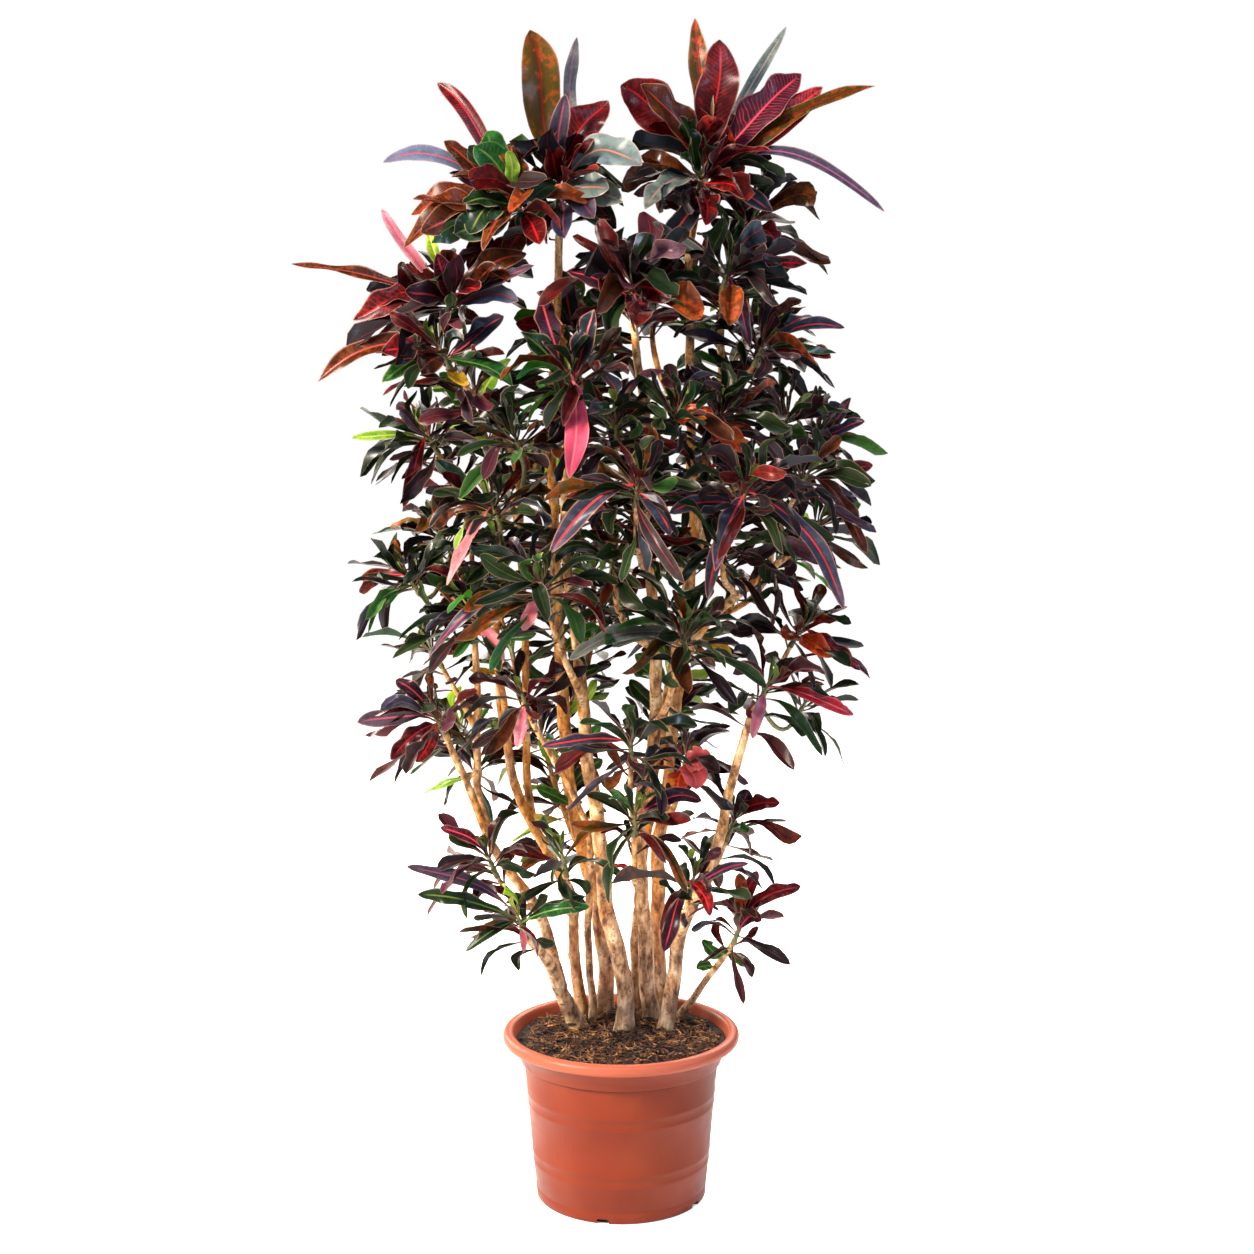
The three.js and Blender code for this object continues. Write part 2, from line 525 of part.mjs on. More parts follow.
// Soil with a plain hole for each stem
function soilBody(routes) {
  const wallInset = potWall + soilPotGap;
  const body = turned([
    [0, potFloor + seatGap], [potFootRadius - wallInset, potFloor + seatGap],
    [potNeckRadius - wallInset, potNeckHeight], [potRimInnerRadius - 8.7, soilEdge - 4],
    [potRimInnerRadius - 7.8, soilEdge], [potRimInnerRadius - 60, soilTop - 3], [0, soilTop],
  ], soilSides);
  const holes = Object.keys(stems).map((name) => {
    const { points, radii } = routes[name];
    const low = points[0].clone().setZ(rootDepth - seatGap);
    return limb([low, points[1]], [radii[0] + seatGap, radii[1] + seatGap], stemSides);
  });
  return body.subtract(joined(holes));
}

// A head's shoot, and the green arm that joins a second head to the first.
function shootBody(name) {
  const foot = shootFoot(name);
  const top = foot.clone().addScaledVector(headAxis(headPlace(name)), shootLength);
  return limb([foot, top], [shootRadius, shootTipRadius], shootSides);
}

function armBody(name) {
  const carrier = heads[name].on;
  const start = shootFoot(carrier).addScaledVector(headAxis(headPlace(carrier)), 6);
  const end = shootFoot(name).addScaledVector(headAxis(headPlace(name)), 3);
  const points = twigPoints(start, end, headAxis(headPlace(name)));
  return limb(points, taper(points, greenArmRadius, greenArmRadius), shootSides);
}

const croton = new THREE.Group();
function addPiece(name, body, finish) {
  const mesh = new THREE.Mesh(geometryOf(body), new THREE.MeshStandardMaterial(finish));
  mesh.name = name;
  croton.add(mesh);
}

const routes = woodRoutes();
addPiece("pot", potBody(), look.pot);
addPiece("soil", soilBody(routes), look.soil);

const placed = []; // solids that a later leaf must stay clear of, with the node that each belongs to
for (const [name, stem] of Object.entries(stems)) {
  const limbs = Object.values(routes).filter((route) => route.body === name);
  const body = joined(limbs.map((route) => limb(route.points, route.radii, route.sides, route.endAxis)));
  placed.push({ node: name, body });
  addPiece("stem_" + name, body, look[stem.look]);
}

// The large leaves take their places first, then the spirals. A leaf that would cut another node is left out.
const nodeNames = [...new Set(Object.keys(heads).map(nodeHead))];
const tufts = Object.fromEntries(nodeNames.map((node) => {
  const members = Object.keys(heads).filter((name) => nodeHead(name) === node);
  const shoots = members.map((name) => shootBody(name));
  const greenArms = members.filter((name) => name !== node).map((name) => armBody(name));
  return [node, { members, parts: [joined([...shoots, ...greenArms])] }];
}));
const boxOf = (body) => {
  const { min, max } = body.boundingBox();
  return new THREE.Box3(vec(...min), vec(...max));
};
for (const node of nodeNames) placed.push({ node: "tuft " + node, body: tufts[node].parts[0] });
for (const entry of placed) entry.box = boxOf(entry.body);
function addLeaf(node, leaf) {
  const body = blade(leaf);
  const box = boxOf(body);
  const owner = "tuft " + node;
  const cuts = placed.some((other) => other.node !== owner && other.box.intersectsBox(box)
    && body.intersect(other.body).volume() > 1e-4);
  if (cuts) return;
  tufts[node].parts.push(body);
  placed.push({ node: owner, body, box });
}
Object.keys(heads).forEach((name) => {
  placedLeaves(name).forEach((leaf) => addLeaf(nodeHead(name), leaf));
});
Object.keys(heads).forEach((name, index) => {
  spiralLeaves(name, index, routes).forEach((leaf) => addLeaf(nodeHead(name), leaf));
});
nodeNames.forEach((node) => addPiece("tuft_" + node, joined(tufts[node].parts), look[heads[node].look]));

export default croton;
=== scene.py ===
import math
import bpy
import numpy as np
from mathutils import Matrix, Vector, kdtree, noise


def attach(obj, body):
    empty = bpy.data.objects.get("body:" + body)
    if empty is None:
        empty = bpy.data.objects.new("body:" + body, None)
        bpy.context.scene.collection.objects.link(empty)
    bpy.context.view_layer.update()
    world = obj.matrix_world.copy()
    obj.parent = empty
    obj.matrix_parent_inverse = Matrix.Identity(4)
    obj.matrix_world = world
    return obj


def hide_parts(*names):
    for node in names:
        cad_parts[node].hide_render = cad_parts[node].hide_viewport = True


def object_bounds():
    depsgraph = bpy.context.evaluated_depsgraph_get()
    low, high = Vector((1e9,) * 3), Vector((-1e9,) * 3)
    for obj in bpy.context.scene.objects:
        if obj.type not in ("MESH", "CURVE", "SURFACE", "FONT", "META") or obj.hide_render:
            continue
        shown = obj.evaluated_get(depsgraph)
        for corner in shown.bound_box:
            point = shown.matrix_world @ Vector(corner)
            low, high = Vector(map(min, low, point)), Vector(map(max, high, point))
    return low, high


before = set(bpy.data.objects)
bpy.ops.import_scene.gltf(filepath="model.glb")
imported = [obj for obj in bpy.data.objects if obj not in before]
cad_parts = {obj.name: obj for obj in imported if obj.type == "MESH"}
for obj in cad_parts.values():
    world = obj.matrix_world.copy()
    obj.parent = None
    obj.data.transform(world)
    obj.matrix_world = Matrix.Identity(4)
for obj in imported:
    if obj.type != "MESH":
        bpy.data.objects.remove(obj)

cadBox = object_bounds()
cadLow, cadHigh = [np.array(corner) * 1000 for corner in cadBox]
up = np.array([0.0, 0.0, 1.0])


# Small helpers

def clearSelection():
    if bpy.context.object and bpy.context.object.mode != "OBJECT":
        bpy.ops.object.mode_set(mode="OBJECT")
    bpy.ops.object.select_all(action="DESELECT")


def pick(*items):
    clearSelection()
    for item in items:
        item.select_set(True)
    bpy.context.view_layer.objects.active = items[0]


def editAll(item):
    pick(item)
    bpy.ops.object.mode_set(mode="EDIT")
    bpy.ops.mesh.select_all(action="SELECT")


def raiseEdge(height):
    bpy.ops.mesh.extrude_region_move(TRANSFORM_OT_translate={"value": (0, 0, height)})


def leaveEdit():
    bpy.ops.mesh.select_all(action="SELECT")
    bpy.ops.mesh.normals_make_consistent(inside=False)
    bpy.ops.object.mode_set(mode="OBJECT")


def applyModifier(item, name, kind, settings):
    modifier = item.modifiers.new(name, kind)
    for key, value in settings.items():
        setattr(modifier, key, value)
    pick(item)
    bpy.ops.object.modifier_apply(modifier=modifier.name)


def linear(text):
    # sRGB hex to the linear colour that shaders take
    shares = [int(text[i:i + 2], 16) / 255 for i in (1, 3, 5)]
    return [c / 12.92 if c <= 0.04045 else ((c + 0.055) / 1.055) ** 2.4 for c in shares] + [1.0]


def draws(seed):
    # a repeatable row of draws between 0 and 1
    state = seed
    while True:
        state = (state * 16807) % 2147483647
        yield state / 2147483647


def take(draw, count):
    return [next(draw) for _ in range(count)]


def unit(vector):
    return vector / np.linalg.norm(vector)


def rowUnit(rows):
    return rows / np.linalg.norm(rows, axis=1)[:, None]


def turned(points, axis, angle):
    # one point or many, turned about an axis through the middle
    axis = unit(axis)
    return (points * math.cos(angle) + np.cross(axis, points) * math.sin(angle)
            + np.multiply.outer(np.dot(points, axis), axis) * (1 - math.cos(angle)))


def sidesOf(axis):
    first = unit(np.cross([0.0, 1.0, 0.0], axis))
    return first, np.cross(axis, first)


def smoothStep(value, low, high):
    share = np.clip((value - low) / (high - low), 0, 1)
    return share * share * (3 - 2 * share)


def arc(start, end, axis, shares):
    # a bow from start that comes into end along axis
    middle = end - axis * 0.5 * np.linalg.norm(end - start)
    return [start * (1 - t) ** 2 + middle * 2 * t * (1 - t) + end * t * t for t in shares]


def reachAlong(points):
    return np.concatenate([[0], np.cumsum(np.linalg.norm(np.diff(points, axis=0), axis=1))])


def pointsOf(item):
    flat = np.empty(len(item.data.vertices) * 3)
    item.data.vertices.foreach_get("co", flat)
    return flat.reshape(-1, 3)


def setPoints(item, points):
    item.data.vertices.foreach_set("co", np.ravel(points))
    item.data.update()


def takeShape(item):
    # points and faces of an object that is only a blank
    shape = pointsOf(item), [tuple(face.vertices) for face in item.data.polygons]
    bpy.data.objects.remove(item)
    return shape


def newPiece(name, shapes):
    # one object made of many shapes, each given as points in mm and faces
    faces, start = [], 0
    for points, shapeFaces in shapes:
        faces += [tuple(corner + start for corner in face) for face in shapeFaces]
        start += len(points)
    mesh = bpy.data.meshes.new(name)
    mesh.from_pydata((np.concatenate([points for points, _ in shapes]) / 1000).tolist(), [], faces)
    piece = bpy.data.objects.new(name, mesh)
    bpy.context.collection.objects.link(piece)
    mesh.update()
    return piece


def smoothShade(item, degrees):
    pick(item)
    bpy.ops.object.shade_smooth_by_angle(angle=math.radians(degrees))


def finishPiece(item, nodes):
    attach(item, "root")
    if nodes:
        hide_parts(*nodes)


# Materials: one function adds a node, the others are the kinds used most

def addNode(tree, kind, settings=None, inputs=None):
    # settings are the node's own choices; inputs are values, or nodes and sockets to link from
    node = tree.nodes.new("ShaderNode" + kind)
    for name, value in (settings or {}).items():
        if name == "stops":
            ramp = node.color_ramp
            while len(ramp.elements) < len(value):
                ramp.elements.new(0.5)
            for element, (place, colour) in zip(ramp.elements, value):
                element.position = place
                element.color = linear(colour)
        else:
            setattr(node, name, value)
    for name, value in (inputs or {}).items():
        if isinstance(value, bpy.types.Node):
            value = value.outputs[2 if value.bl_idname == "ShaderNodeMix" else 0]
        if isinstance(value, bpy.types.NodeSocket):
            tree.links.new(value, node.inputs[name])
        else:
            node.inputs[name].default_value = value
    return node


def newMaterial(name):
    material = bpy.data.materials.new(name)
    material.use_nodes = True
    material.node_tree.nodes.clear()
    place = addNode(material.node_tree, "TexCoord").outputs["Object"]
    return material, material.node_tree, place


def maths(tree, operation, *values):
    return addNode(tree, "Math", {"operation": operation}, dict(enumerate(values)))


def times(tree, first, second):
    return maths(tree, "MULTIPLY", first, second)


def span(tree, value, low, high, toLow=0.0, toHigh=1.0):
    return addNode(tree, "MapRange", None, {"Value": value, "From Min": low, "From Max": high,
                                            "To Min": toLow, "To Max": toHigh})


def blend(tree, share, first, second, how="MIX"):
    return addNode(tree, "Mix", {"data_type": "RGBA", "blend_type": how}, {0: share, 6: first, 7: second})


def tinted(tree, colour, share, text):
    return blend(tree, share, colour, linear(text))


def ramped(tree, value, *stops):
    return addNode(tree, "ValToRGB", {"stops": stops}, {0: value})


def cloudy(tree, place, scale, detail, rough=0.5):
    # a scale of 100 gives clouds about 10 mm across
    return addNode(tree, "TexNoise", None, {"Vector": place, "Scale": scale, "Detail": detail,
                                            "Roughness": rough})


def bump(tree, strength, distance, height, under=None, invert=False):
    inputs = {"Strength": strength, "Distance": distance, "Height": height}
    if under:
        inputs["Normal"] = under
    return addNode(tree, "Bump", {"invert": invert}, inputs)


def shaded(tree, colour, rough, normal=None, more=None):
    inputs = {"Base Color": colour, "Roughness": rough, **(more or {})}
    if normal:
        inputs["Normal"] = normal
    return addNode(tree, "BsdfPrincipled", None, inputs)


def endWith(tree, shader):
    addNode(tree, "OutputMaterial", None, {"Surface": shader})


# Camera, light and floor

studio = {
    "eye": (0.008, -2.506, 1.053), "tilt": 6.337, "lens": 54.67, "sensor": 36,     # metres, degrees down, mm
    "aim": (0, 0, 0.85),
    "background": 1.0, "ambient": 0.12, "sweep": 0.9,
    "dark": (0.108, 0.116),      # metres from the pot's axis, so that the notches in its foot stay dark
    "floor": "#f4f3f1", "floorSize": 60,
}

# place in metres, size, watts, colour; the glint lamps only put glints on the waxy leaves
lamps = {
    "keyLight": ((-2.4, -1.6, 2.4), 0.9, 322, "#fff0dc"),
    "skyLight": ((0.3, -1.6, 3.4), 1.2, 24, "#cfdcff"),
    "fillLight": ((2.4, -1.9, 1.4), 1.8, 9, "#e8eeff"),
    "backLight": ((0.7, 2.3, 2.6), 2.2, 150, "#fff8ec"),
    "edgeLight": ((-2.1, 2.0, 1.5), 1.6, 90, "#fff4e4"),
    "glintLight0": ((1.7, -2.0, 2.7), 0.6, 26, "#d2deff"),
    "glintLight1": ((-0.5, -2.5, 3.1), 0.6, 26, "#d2deff"),
    "glintLight2": ((-2.8, -0.7, 1.3), 0.6, 26, "#d2deff"),
    "glintLight3": ((2.7, -0.8, 1.9), 0.6, 26, "#d2deff"),
}


def makeStudio():
    scene = bpy.context.scene
    scene.view_settings.view_transform = "Standard"
    clearSelection()
    bpy.ops.object.camera_add(location=studio["eye"], rotation=(math.radians(90 - studio["tilt"]), 0, 0))
    scene.camera = bpy.context.object
    scene.camera.data.sensor_width = studio["sensor"]
    scene.camera.data.lens = studio["lens"]
    for name, (place, size, power, colour) in lamps.items():
        aim = (Vector(studio["aim"]) - Vector(place)).to_track_quat("-Z", "Y").to_euler()
        bpy.ops.object.light_add(type="AREA", location=place, rotation=aim)
        lamp = bpy.context.object
        lamp.name = name
        lamp.data.size = size
        lamp.data.energy = power
        lamp.data.color = linear(colour)[:3]
    world = bpy.data.worlds.new("studioWhite")
    world.use_nodes = True
    scene.world = world
    tree = world.node_tree
    tree.nodes.clear()
    seen = addNode(tree, "LightPath").outputs["Is Camera Ray"]
    strength = span(tree, seen, 0, 1, studio["ambient"], studio["background"])
    white = addNode(tree, "Background", None, {"Color": (1, 1, 1, 1), "Strength": strength})
    addNode(tree, "OutputWorld", None, {"Surface": white})
    bpy.ops.mesh.primitive_plane_add(size=studio["floorSize"], location=(0, 0, -0.0005))
    floor = bpy.context.object
    floor.name = "floor"
    material, tree, place = newMaterial("matt white studio floor")
    # a lit sweep: the floor runs into the white background without a horizon
    fromPot = addNode(tree, "VectorMath", {"operation": "LENGTH"}, {0: place}).outputs["Value"]
    clear = span(tree, fromPot, *studio["dark"], 0, studio["sweep"])
    lit = times(tree, addNode(tree, "LightPath").outputs["Is Camera Ray"], clear)
    glow = addNode(tree, "Emission", None, {"Color": (1, 1, 1, 1), "Strength": lit})
    matt = shaded(tree, linear(studio["floor"]), 0.9)
    endWith(tree, addNode(tree, "AddShader", None, {0: matt, 1: glow}))
    floor.data.materials.append(material)


makeStudio()
print("studio ready")

# Stems from the soil up: bark, radius at the foot and at the tip, places along it
stems = {
    "A": ("bark", 14, 5, [(-60, 25, 216), (-80, 5, 275), (-95, -30, 325), (-130, -100, 400)]),
    "B": ("peel", 10, 5, [(-55, 75, 216), (-65, 62, 315), (-65, 50, 385), (-75, -10, 435),
        (-75, -55, 470)]),
    "C": ("bark", 6, 4, [(-40, 50, 216), (-42, 55, 275), (-45, 48, 345), (-42, 15, 475), (-60, -15, 545),
        (-125, -60, 685)]),
    "D": ("peel", 12, 5, [(-20, 100, 216), (-22, 94, 290), (-34, 84, 385), (-62, 68, 500), (-75, 60, 585),
        (-85, 45, 780), (-90, 30, 915), (-90, 15, 1075), (-80, 0, 1345)]),
    "E": ("bark", 13, 5, [(5, 15, 216), (5, 12, 285), (-20, 0, 400), (-32, -20, 525), (-46, -34, 610),
        (-52, -42, 695), (-70, -75, 895), (-70, -85, 995), (-60, -90, 1095)]),
    "F": ("bark", 12, 5, [(42, 60, 216), (35, 52, 300), (25, 40, 465), (28, 34, 540), (42, 22, 620),
        (48, 6, 720), (42, -6, 810), (40, -20, 915), (35, -35, 1020), (15, -60, 1210)]),
    "G": ("peel", 11, 5, [(55, 100, 216), (50, 85, 440), (60, 78, 510), (80, 60, 710), (95, 52, 835),
        (95, 45, 965), (90, 20, 1230), (105, 0, 1360)]),
    "H": ("bark", 12, 5, [(62, 22, 216), (70, 18, 285), (80, 12, 355), (120, -10, 455), (145, -26, 565),
        (165, -46, 650), (185, -60, 695)]),
    "I": ("bark", 6, 4, [(78, 62, 216), (105, 45, 265), (135, 10, 320), (155, -60, 380)]),
    "J": ("bark", 8, 4.5, [(20, 115, 216), (22, 104, 350), (42, 94, 535), (85, 86, 790), (110, 72, 940),
        (130, 40, 1100), (135, -40, 1230)]),
}
# Their arms: what each leaves and at what height, radii, places along it
arms = {
    "Aa": ("A", 285, 9, 4.5, [(-95, 30, 330), (-120, 40, 390), (-175, 10, 485), (-240, -40, 655)]),
    "Ab": ("Aa", 505, 6, 4, [(-195, 28, 560), (-195, 40, 620), (-200, 40, 790), (-230, 0, 885)]),
    "Ba": ("B", 372, 8, 4, [(-85, 60, 430), (-105, 50, 470), (-145, 20, 570), (-165, 5, 755),
        (-160, -80, 930)]),
    "Bb": ("Ba", 515, 6, 4, [(-128, 50, 570), (-130, 65, 640), (-135, 35, 890), (-145, 0, 1010),
        (-225, -70, 1130)]),
    "Ga": ("G", 715, 7, 4, [(120, 40, 780), (160, 20, 820), (254, -10, 905)]),
}

# Heads of leaves: place, the wood or head that carries it, the height its twig leaves there (0 for a head on
# the tip), main leaves, their length, look
headRows = {
    "T1": (-80, 0, 1345, "D", 0, 4, 86, "maroon"), "T2": (-130, -40, 1318, "T1", 0, 2, 86, "maroon"),
    "T3": (105, 0, 1360, "G", 0, 4, 92, "maroon"), "T4": (170, 35, 1300, "R1", 0, 5, 82, "maroon"),
    "L1": (-215, -20, 1195, "L2", 0, 4, 92, "maroon"), "L2": (-225, -70, 1130, "Bb", 0, 3, 82, "maroon"),
    "C1": (15, -60, 1210, "F", 0, 8, 94, "maroon"), "R1": (135, -40, 1230, "J", 0, 5, 86, "dark"),
    "R2": (180, -20, 1135, "J", 1060, 5, 86, "dark"), "C2": (-60, -90, 1095, "E", 0, 7, 92, "green"),
    "L3": (-250, 10, 1020, "Ab", 800, 7, 84, "dark"), "L4": (-160, -80, 930, "Ba", 0, 5, 92, "green"),
    "C3": (-130, -80, 1015, "L4", 0, 5, 84, "green"), "M1": (-5, -110, 1035, "F", 950, 5, 88, "dark"),
    "M2": (20, -170, 960, "F", 850, 6, 92, "green"), "M3": (70, -115, 1045, "M1", 0, 5, 88, "bronze"),
    "M4": (125, -90, 1047, "G", 965, 6, 86, "bronze"), "R3": (212, -30, 1041, "J", 940, 6, 88, "bronze"),
    "R4": (256, 30, 1015, "R3", 0, 5, 76, "dark"), "R5": (151, -160, 952, "Ga", 815, 6, 96, "dark"),
    "R6": (232, -80, 970, "Ga", 850, 6, 80, "dark"), "R7": (254, -10, 905, "Ga", 0, 5, 78, "dark"),
    "L5": (-230, 0, 885, "Ab", 0, 6, 88, "green"), "L6": (-272, -40, 838, "L5", 0, 5, 80, "green"),
    "M5": (-96, -150, 838, "E", 690, 7, 92, "green"), "M6": (-11, -110, 872, "F", 745, 6, 86, "green"),
    "M7": (80, -120, 769, "F", 640, 6, 86, "green"), "R8": (185, -60, 695, "H", 0, 5, 86, "maroon"),
    "R9": (235, 15, 764, "H", 640, 5, 84, "maroon"), "R10": (240, 0, 665, "R8", 0, 4, 76, "green"),
    "L7": (-240, -40, 655, "Aa", 0, 6, 84, "maroon"), "L8": (-250, 25, 735, "Ab", 630, 5, 80, "green"),
    "L9": (-184, -60, 790, "Ba", 650, 5, 84, "green"), "L10": (-215, 95, 615, "Ab", 560, 5, 78, "green"),
    "M8": (-125, -60, 685, "C", 0, 5, 78, "maroon"), "M9": (13, -125, 632, "F", 500, 7, 86, "dark"),
    "M10": (18, -130, 540, "F", 420, 6, 82, "green"), "M11": (85, 0, 590, "G", 500, 5, 84, "bronze"),
    "B1": (-130, -100, 400, "A", 0, 2, 84, "green"), "B2": (-170, -55, 468, "Aa", 385, 6, 80, "maroon"),
    "B3": (-75, -55, 470, "B", 0, 5, 76, "green"), "B4": (92, -90, 448, "H", 355, 4, 78, "maroon"),
    "B5": (155, -60, 380, "I", 0, 2, 68, "maroon"), "B6": (150, 45, 495, "H", 410, 3, 78, "maroon"),
    "K1": (-195, 110, 1050, "Bb", 890, 5, 88, "green"), "K2": (-60, 115, 1160, "D", 1000, 5, 90, "dark"),
    "K3": (45, 115, 1215, "G", 1040, 5, 88, "maroon"), "K4": (175, 105, 1170, "G", 1060, 5, 88, "dark"),
    "K5": (-115, 150, 960, "D", 780, 5, 90, "green"), "K6": (20, 155, 1010, "G", 835, 5, 90, "green"),
    "K7": (140, 165, 960, "J", 790, 5, 90, "green"), "K8": (225, 115, 870, "Ga", 780, 5, 88, "green"),
    "K9": (-40, 160, 830, "D", 640, 5, 86, "green"), "K10": (100, 170, 745, "J", 580, 5, 86, "maroon"),
    "K11": (-180, 130, 805, "Bb", 640, 5, 86, "green"), "K12": (-110, 125, 600, "D", 440, 5, 80, "maroon"),
}
# share of the leaves that fill a thin head, and how much further down the wood some heads carry leaves
dense = {"R3": 0.7, "R4": 0.6, "R6": 0.6, "R7": 0.6, "R9": 0.7, "K4": 0.6, "K8": 0.4}
deep = {"K9": 1.7, "K10": 1.6, "K11": 1.6, "K12": 1.8}

# The large leaves that face the light: tip, how far it arches, width, colouring
largeLeaves = {
    "T1": [(-115, -20, 1540, 10, 46, "olive"), (-55, 20, 1540, 0, 16, "heather"),
        (-70, -50, 1455, 5, 22, "lavender"), (-25, -30, 1460, 5, 48, "garnet"),
        (25, -70, 1365, 45, 40, "silver")],
    "T2": [(-300, -50, 1370, 28, 20, "steel"), (-170, -60, 1410, 8, 36, "leafGreen"),
        (-140, -80, 1380, 5, 16, "lime"), (-220, -20, 1360, 10, 28, "plum"),
        (-275, -30, 1315, 10, 38, "copper"), (-280, -60, 1265, 25, 32, "bronze"),
        (-195, -100, 1285, 15, 40, "bottle"), (-170, -110, 1255, 15, 24, "bronze"),
        (-240, 0, 1480, 25, 20, "garnet")],
    "T3": [(-5, -20, 1470, 10, 54, "garnet"), (25, -60, 1465, 10, 38, "bronze"),
        (95, 0, 1560, 4, 24, "olive"), (125, -20, 1530, 6, 46, "garnet"), (215, 40, 1560, 5, 15, "sage"),
        (235, 10, 1495, 10, 44, "wine"), (260, -20, 1475, 10, 38, "scarlet"),
        (325, -30, 1465, 8, 27, "olive"), (190, -60, 1380, 12, 28, "garnet"),
        (335, -40, 1310, 40, 14, "lavender"), (75, -70, 1425, 5, 28, "bottle"),
        (30, -90, 1305, 15, 26, "sage")],
    "L1": [(-424, -20, 1250, -5, 15, "bronze"), (-345, -50, 1175, 15, 38, "garnet"),
        (-110, -60, 1245, 10, 24, "lavender"), (-155, -70, 1240, 8, 22, "bronze"),
        (-250, 0, 1325, 0, 13, "lime"), (-310, 0, 1320, 8, 14, "pink")],
    "L2": [(-305, -70, 1130, 8, 30, "plum"), (-385, -60, 1095, 15, 28, "bronze"),
        (-300, -100, 1095, 10, 26, "leafGreen"), (-135, -100, 1090, 8, 32, "leafGreen")],
    "C2": [(-58, -225, 982, 5, 30, "rose")],
    "L3": [(-280, -40, 935, 15, 18, "garnet"), (-350, -20, 1025, 10, 14, "lime")],
    "R1": [(40, -50, 1295, 8, 16, "sage"), (165, -80, 1140, 12, 20, "plum"),
        (240, -40, 1250, 8, 24, "garnet")],
    "R2": [(290, -30, 1170, 8, 18, "slateBlue"), (270, -40, 1125, 8, 22, "garnet"),
        (250, 0, 1185, 6, 18, "slateBlue")],
    "M2": [(-90, -190, 885, 14, 26, "slateBlue"), (60, -210, 910, 8, 22, "slateBlue")],
    "M5": [(-240, -130, 750, 25, 17, "slateBlue")],
    "M7": [(-65, -170, 755, 12, 22, "sage")],
    "R5": [(275, -190, 815, 25, 21, "slateBlue"), (115, -200, 865, 15, 26, "slateBlue"),
        (105, -190, 830, 12, 21, "slateBlue"), (60, -190, 935, 8, 20, "slateBlue")],
    "R6": [(320, -60, 875, 12, 22, "bronze"), (325, -60, 990, 6, 20, "garnet")],
    "R4": [(320, 0, 1045, 5, 18, "slateBlue"), (305, 20, 1075, 5, 18, "slateBlue")],
    "L4": [(-220, -110, 840, 10, 16, "pink")],
    "L6": [(-340, -30, 840, 6, 16, "garnet")],
    "R8": [(305, -50, 665, 8, 18, "crimson"), (170, -90, 640, 8, 16, "pink")],
    "R9": [(315, -20, 720, 6, 20, "garnet")],
    "L7": [(-345, -50, 655, 8, 26, "lavender"), (-295, -40, 710, 6, 20, "plum"),
        (-300, -60, 605, 10, 22, "garnet")],
    "M9": [(-100, -150, 640, 6, 16, "slateBlue")],
    "M10": [(105, -140, 575, 8, 24, "plum")],
    "B2": [(-235, -70, 520, 6, 16, "wine")],
    "B1": [(-275, -110, 480, 12, 20, "lavender"), (-260, -130, 445, 10, 19, "bottle"),
        (-200, -140, 375, 10, 15, "bottle"), (-40, -130, 430, 10, 19, "leafGreen"),
        (-45, -110, 440, 10, 17, "bottle"), (-125, -110, 365, 6, 10, "pink")],
    "B4": [(55, -130, 370, 6, 22, "plum"), (115, -150, 425, 8, 20, "scarlet"),
        (165, -100, 480, 5, 12, "slateBlue")],
    "B5": [(235, -70, 445, 6, 20, "garnet"), (180, -40, 455, 5, 18, "garnet"),
        (155, -80, 460, 4, 18, "copper"), (185, -90, 400, 10, 18, "wine")],
    "B6": [(215, 30, 535, 4, 22, "garnet"), (175, 50, 545, 5, 24, "plum"),
        (170, 10, 500, 4, 18, "leafGreen")],
}

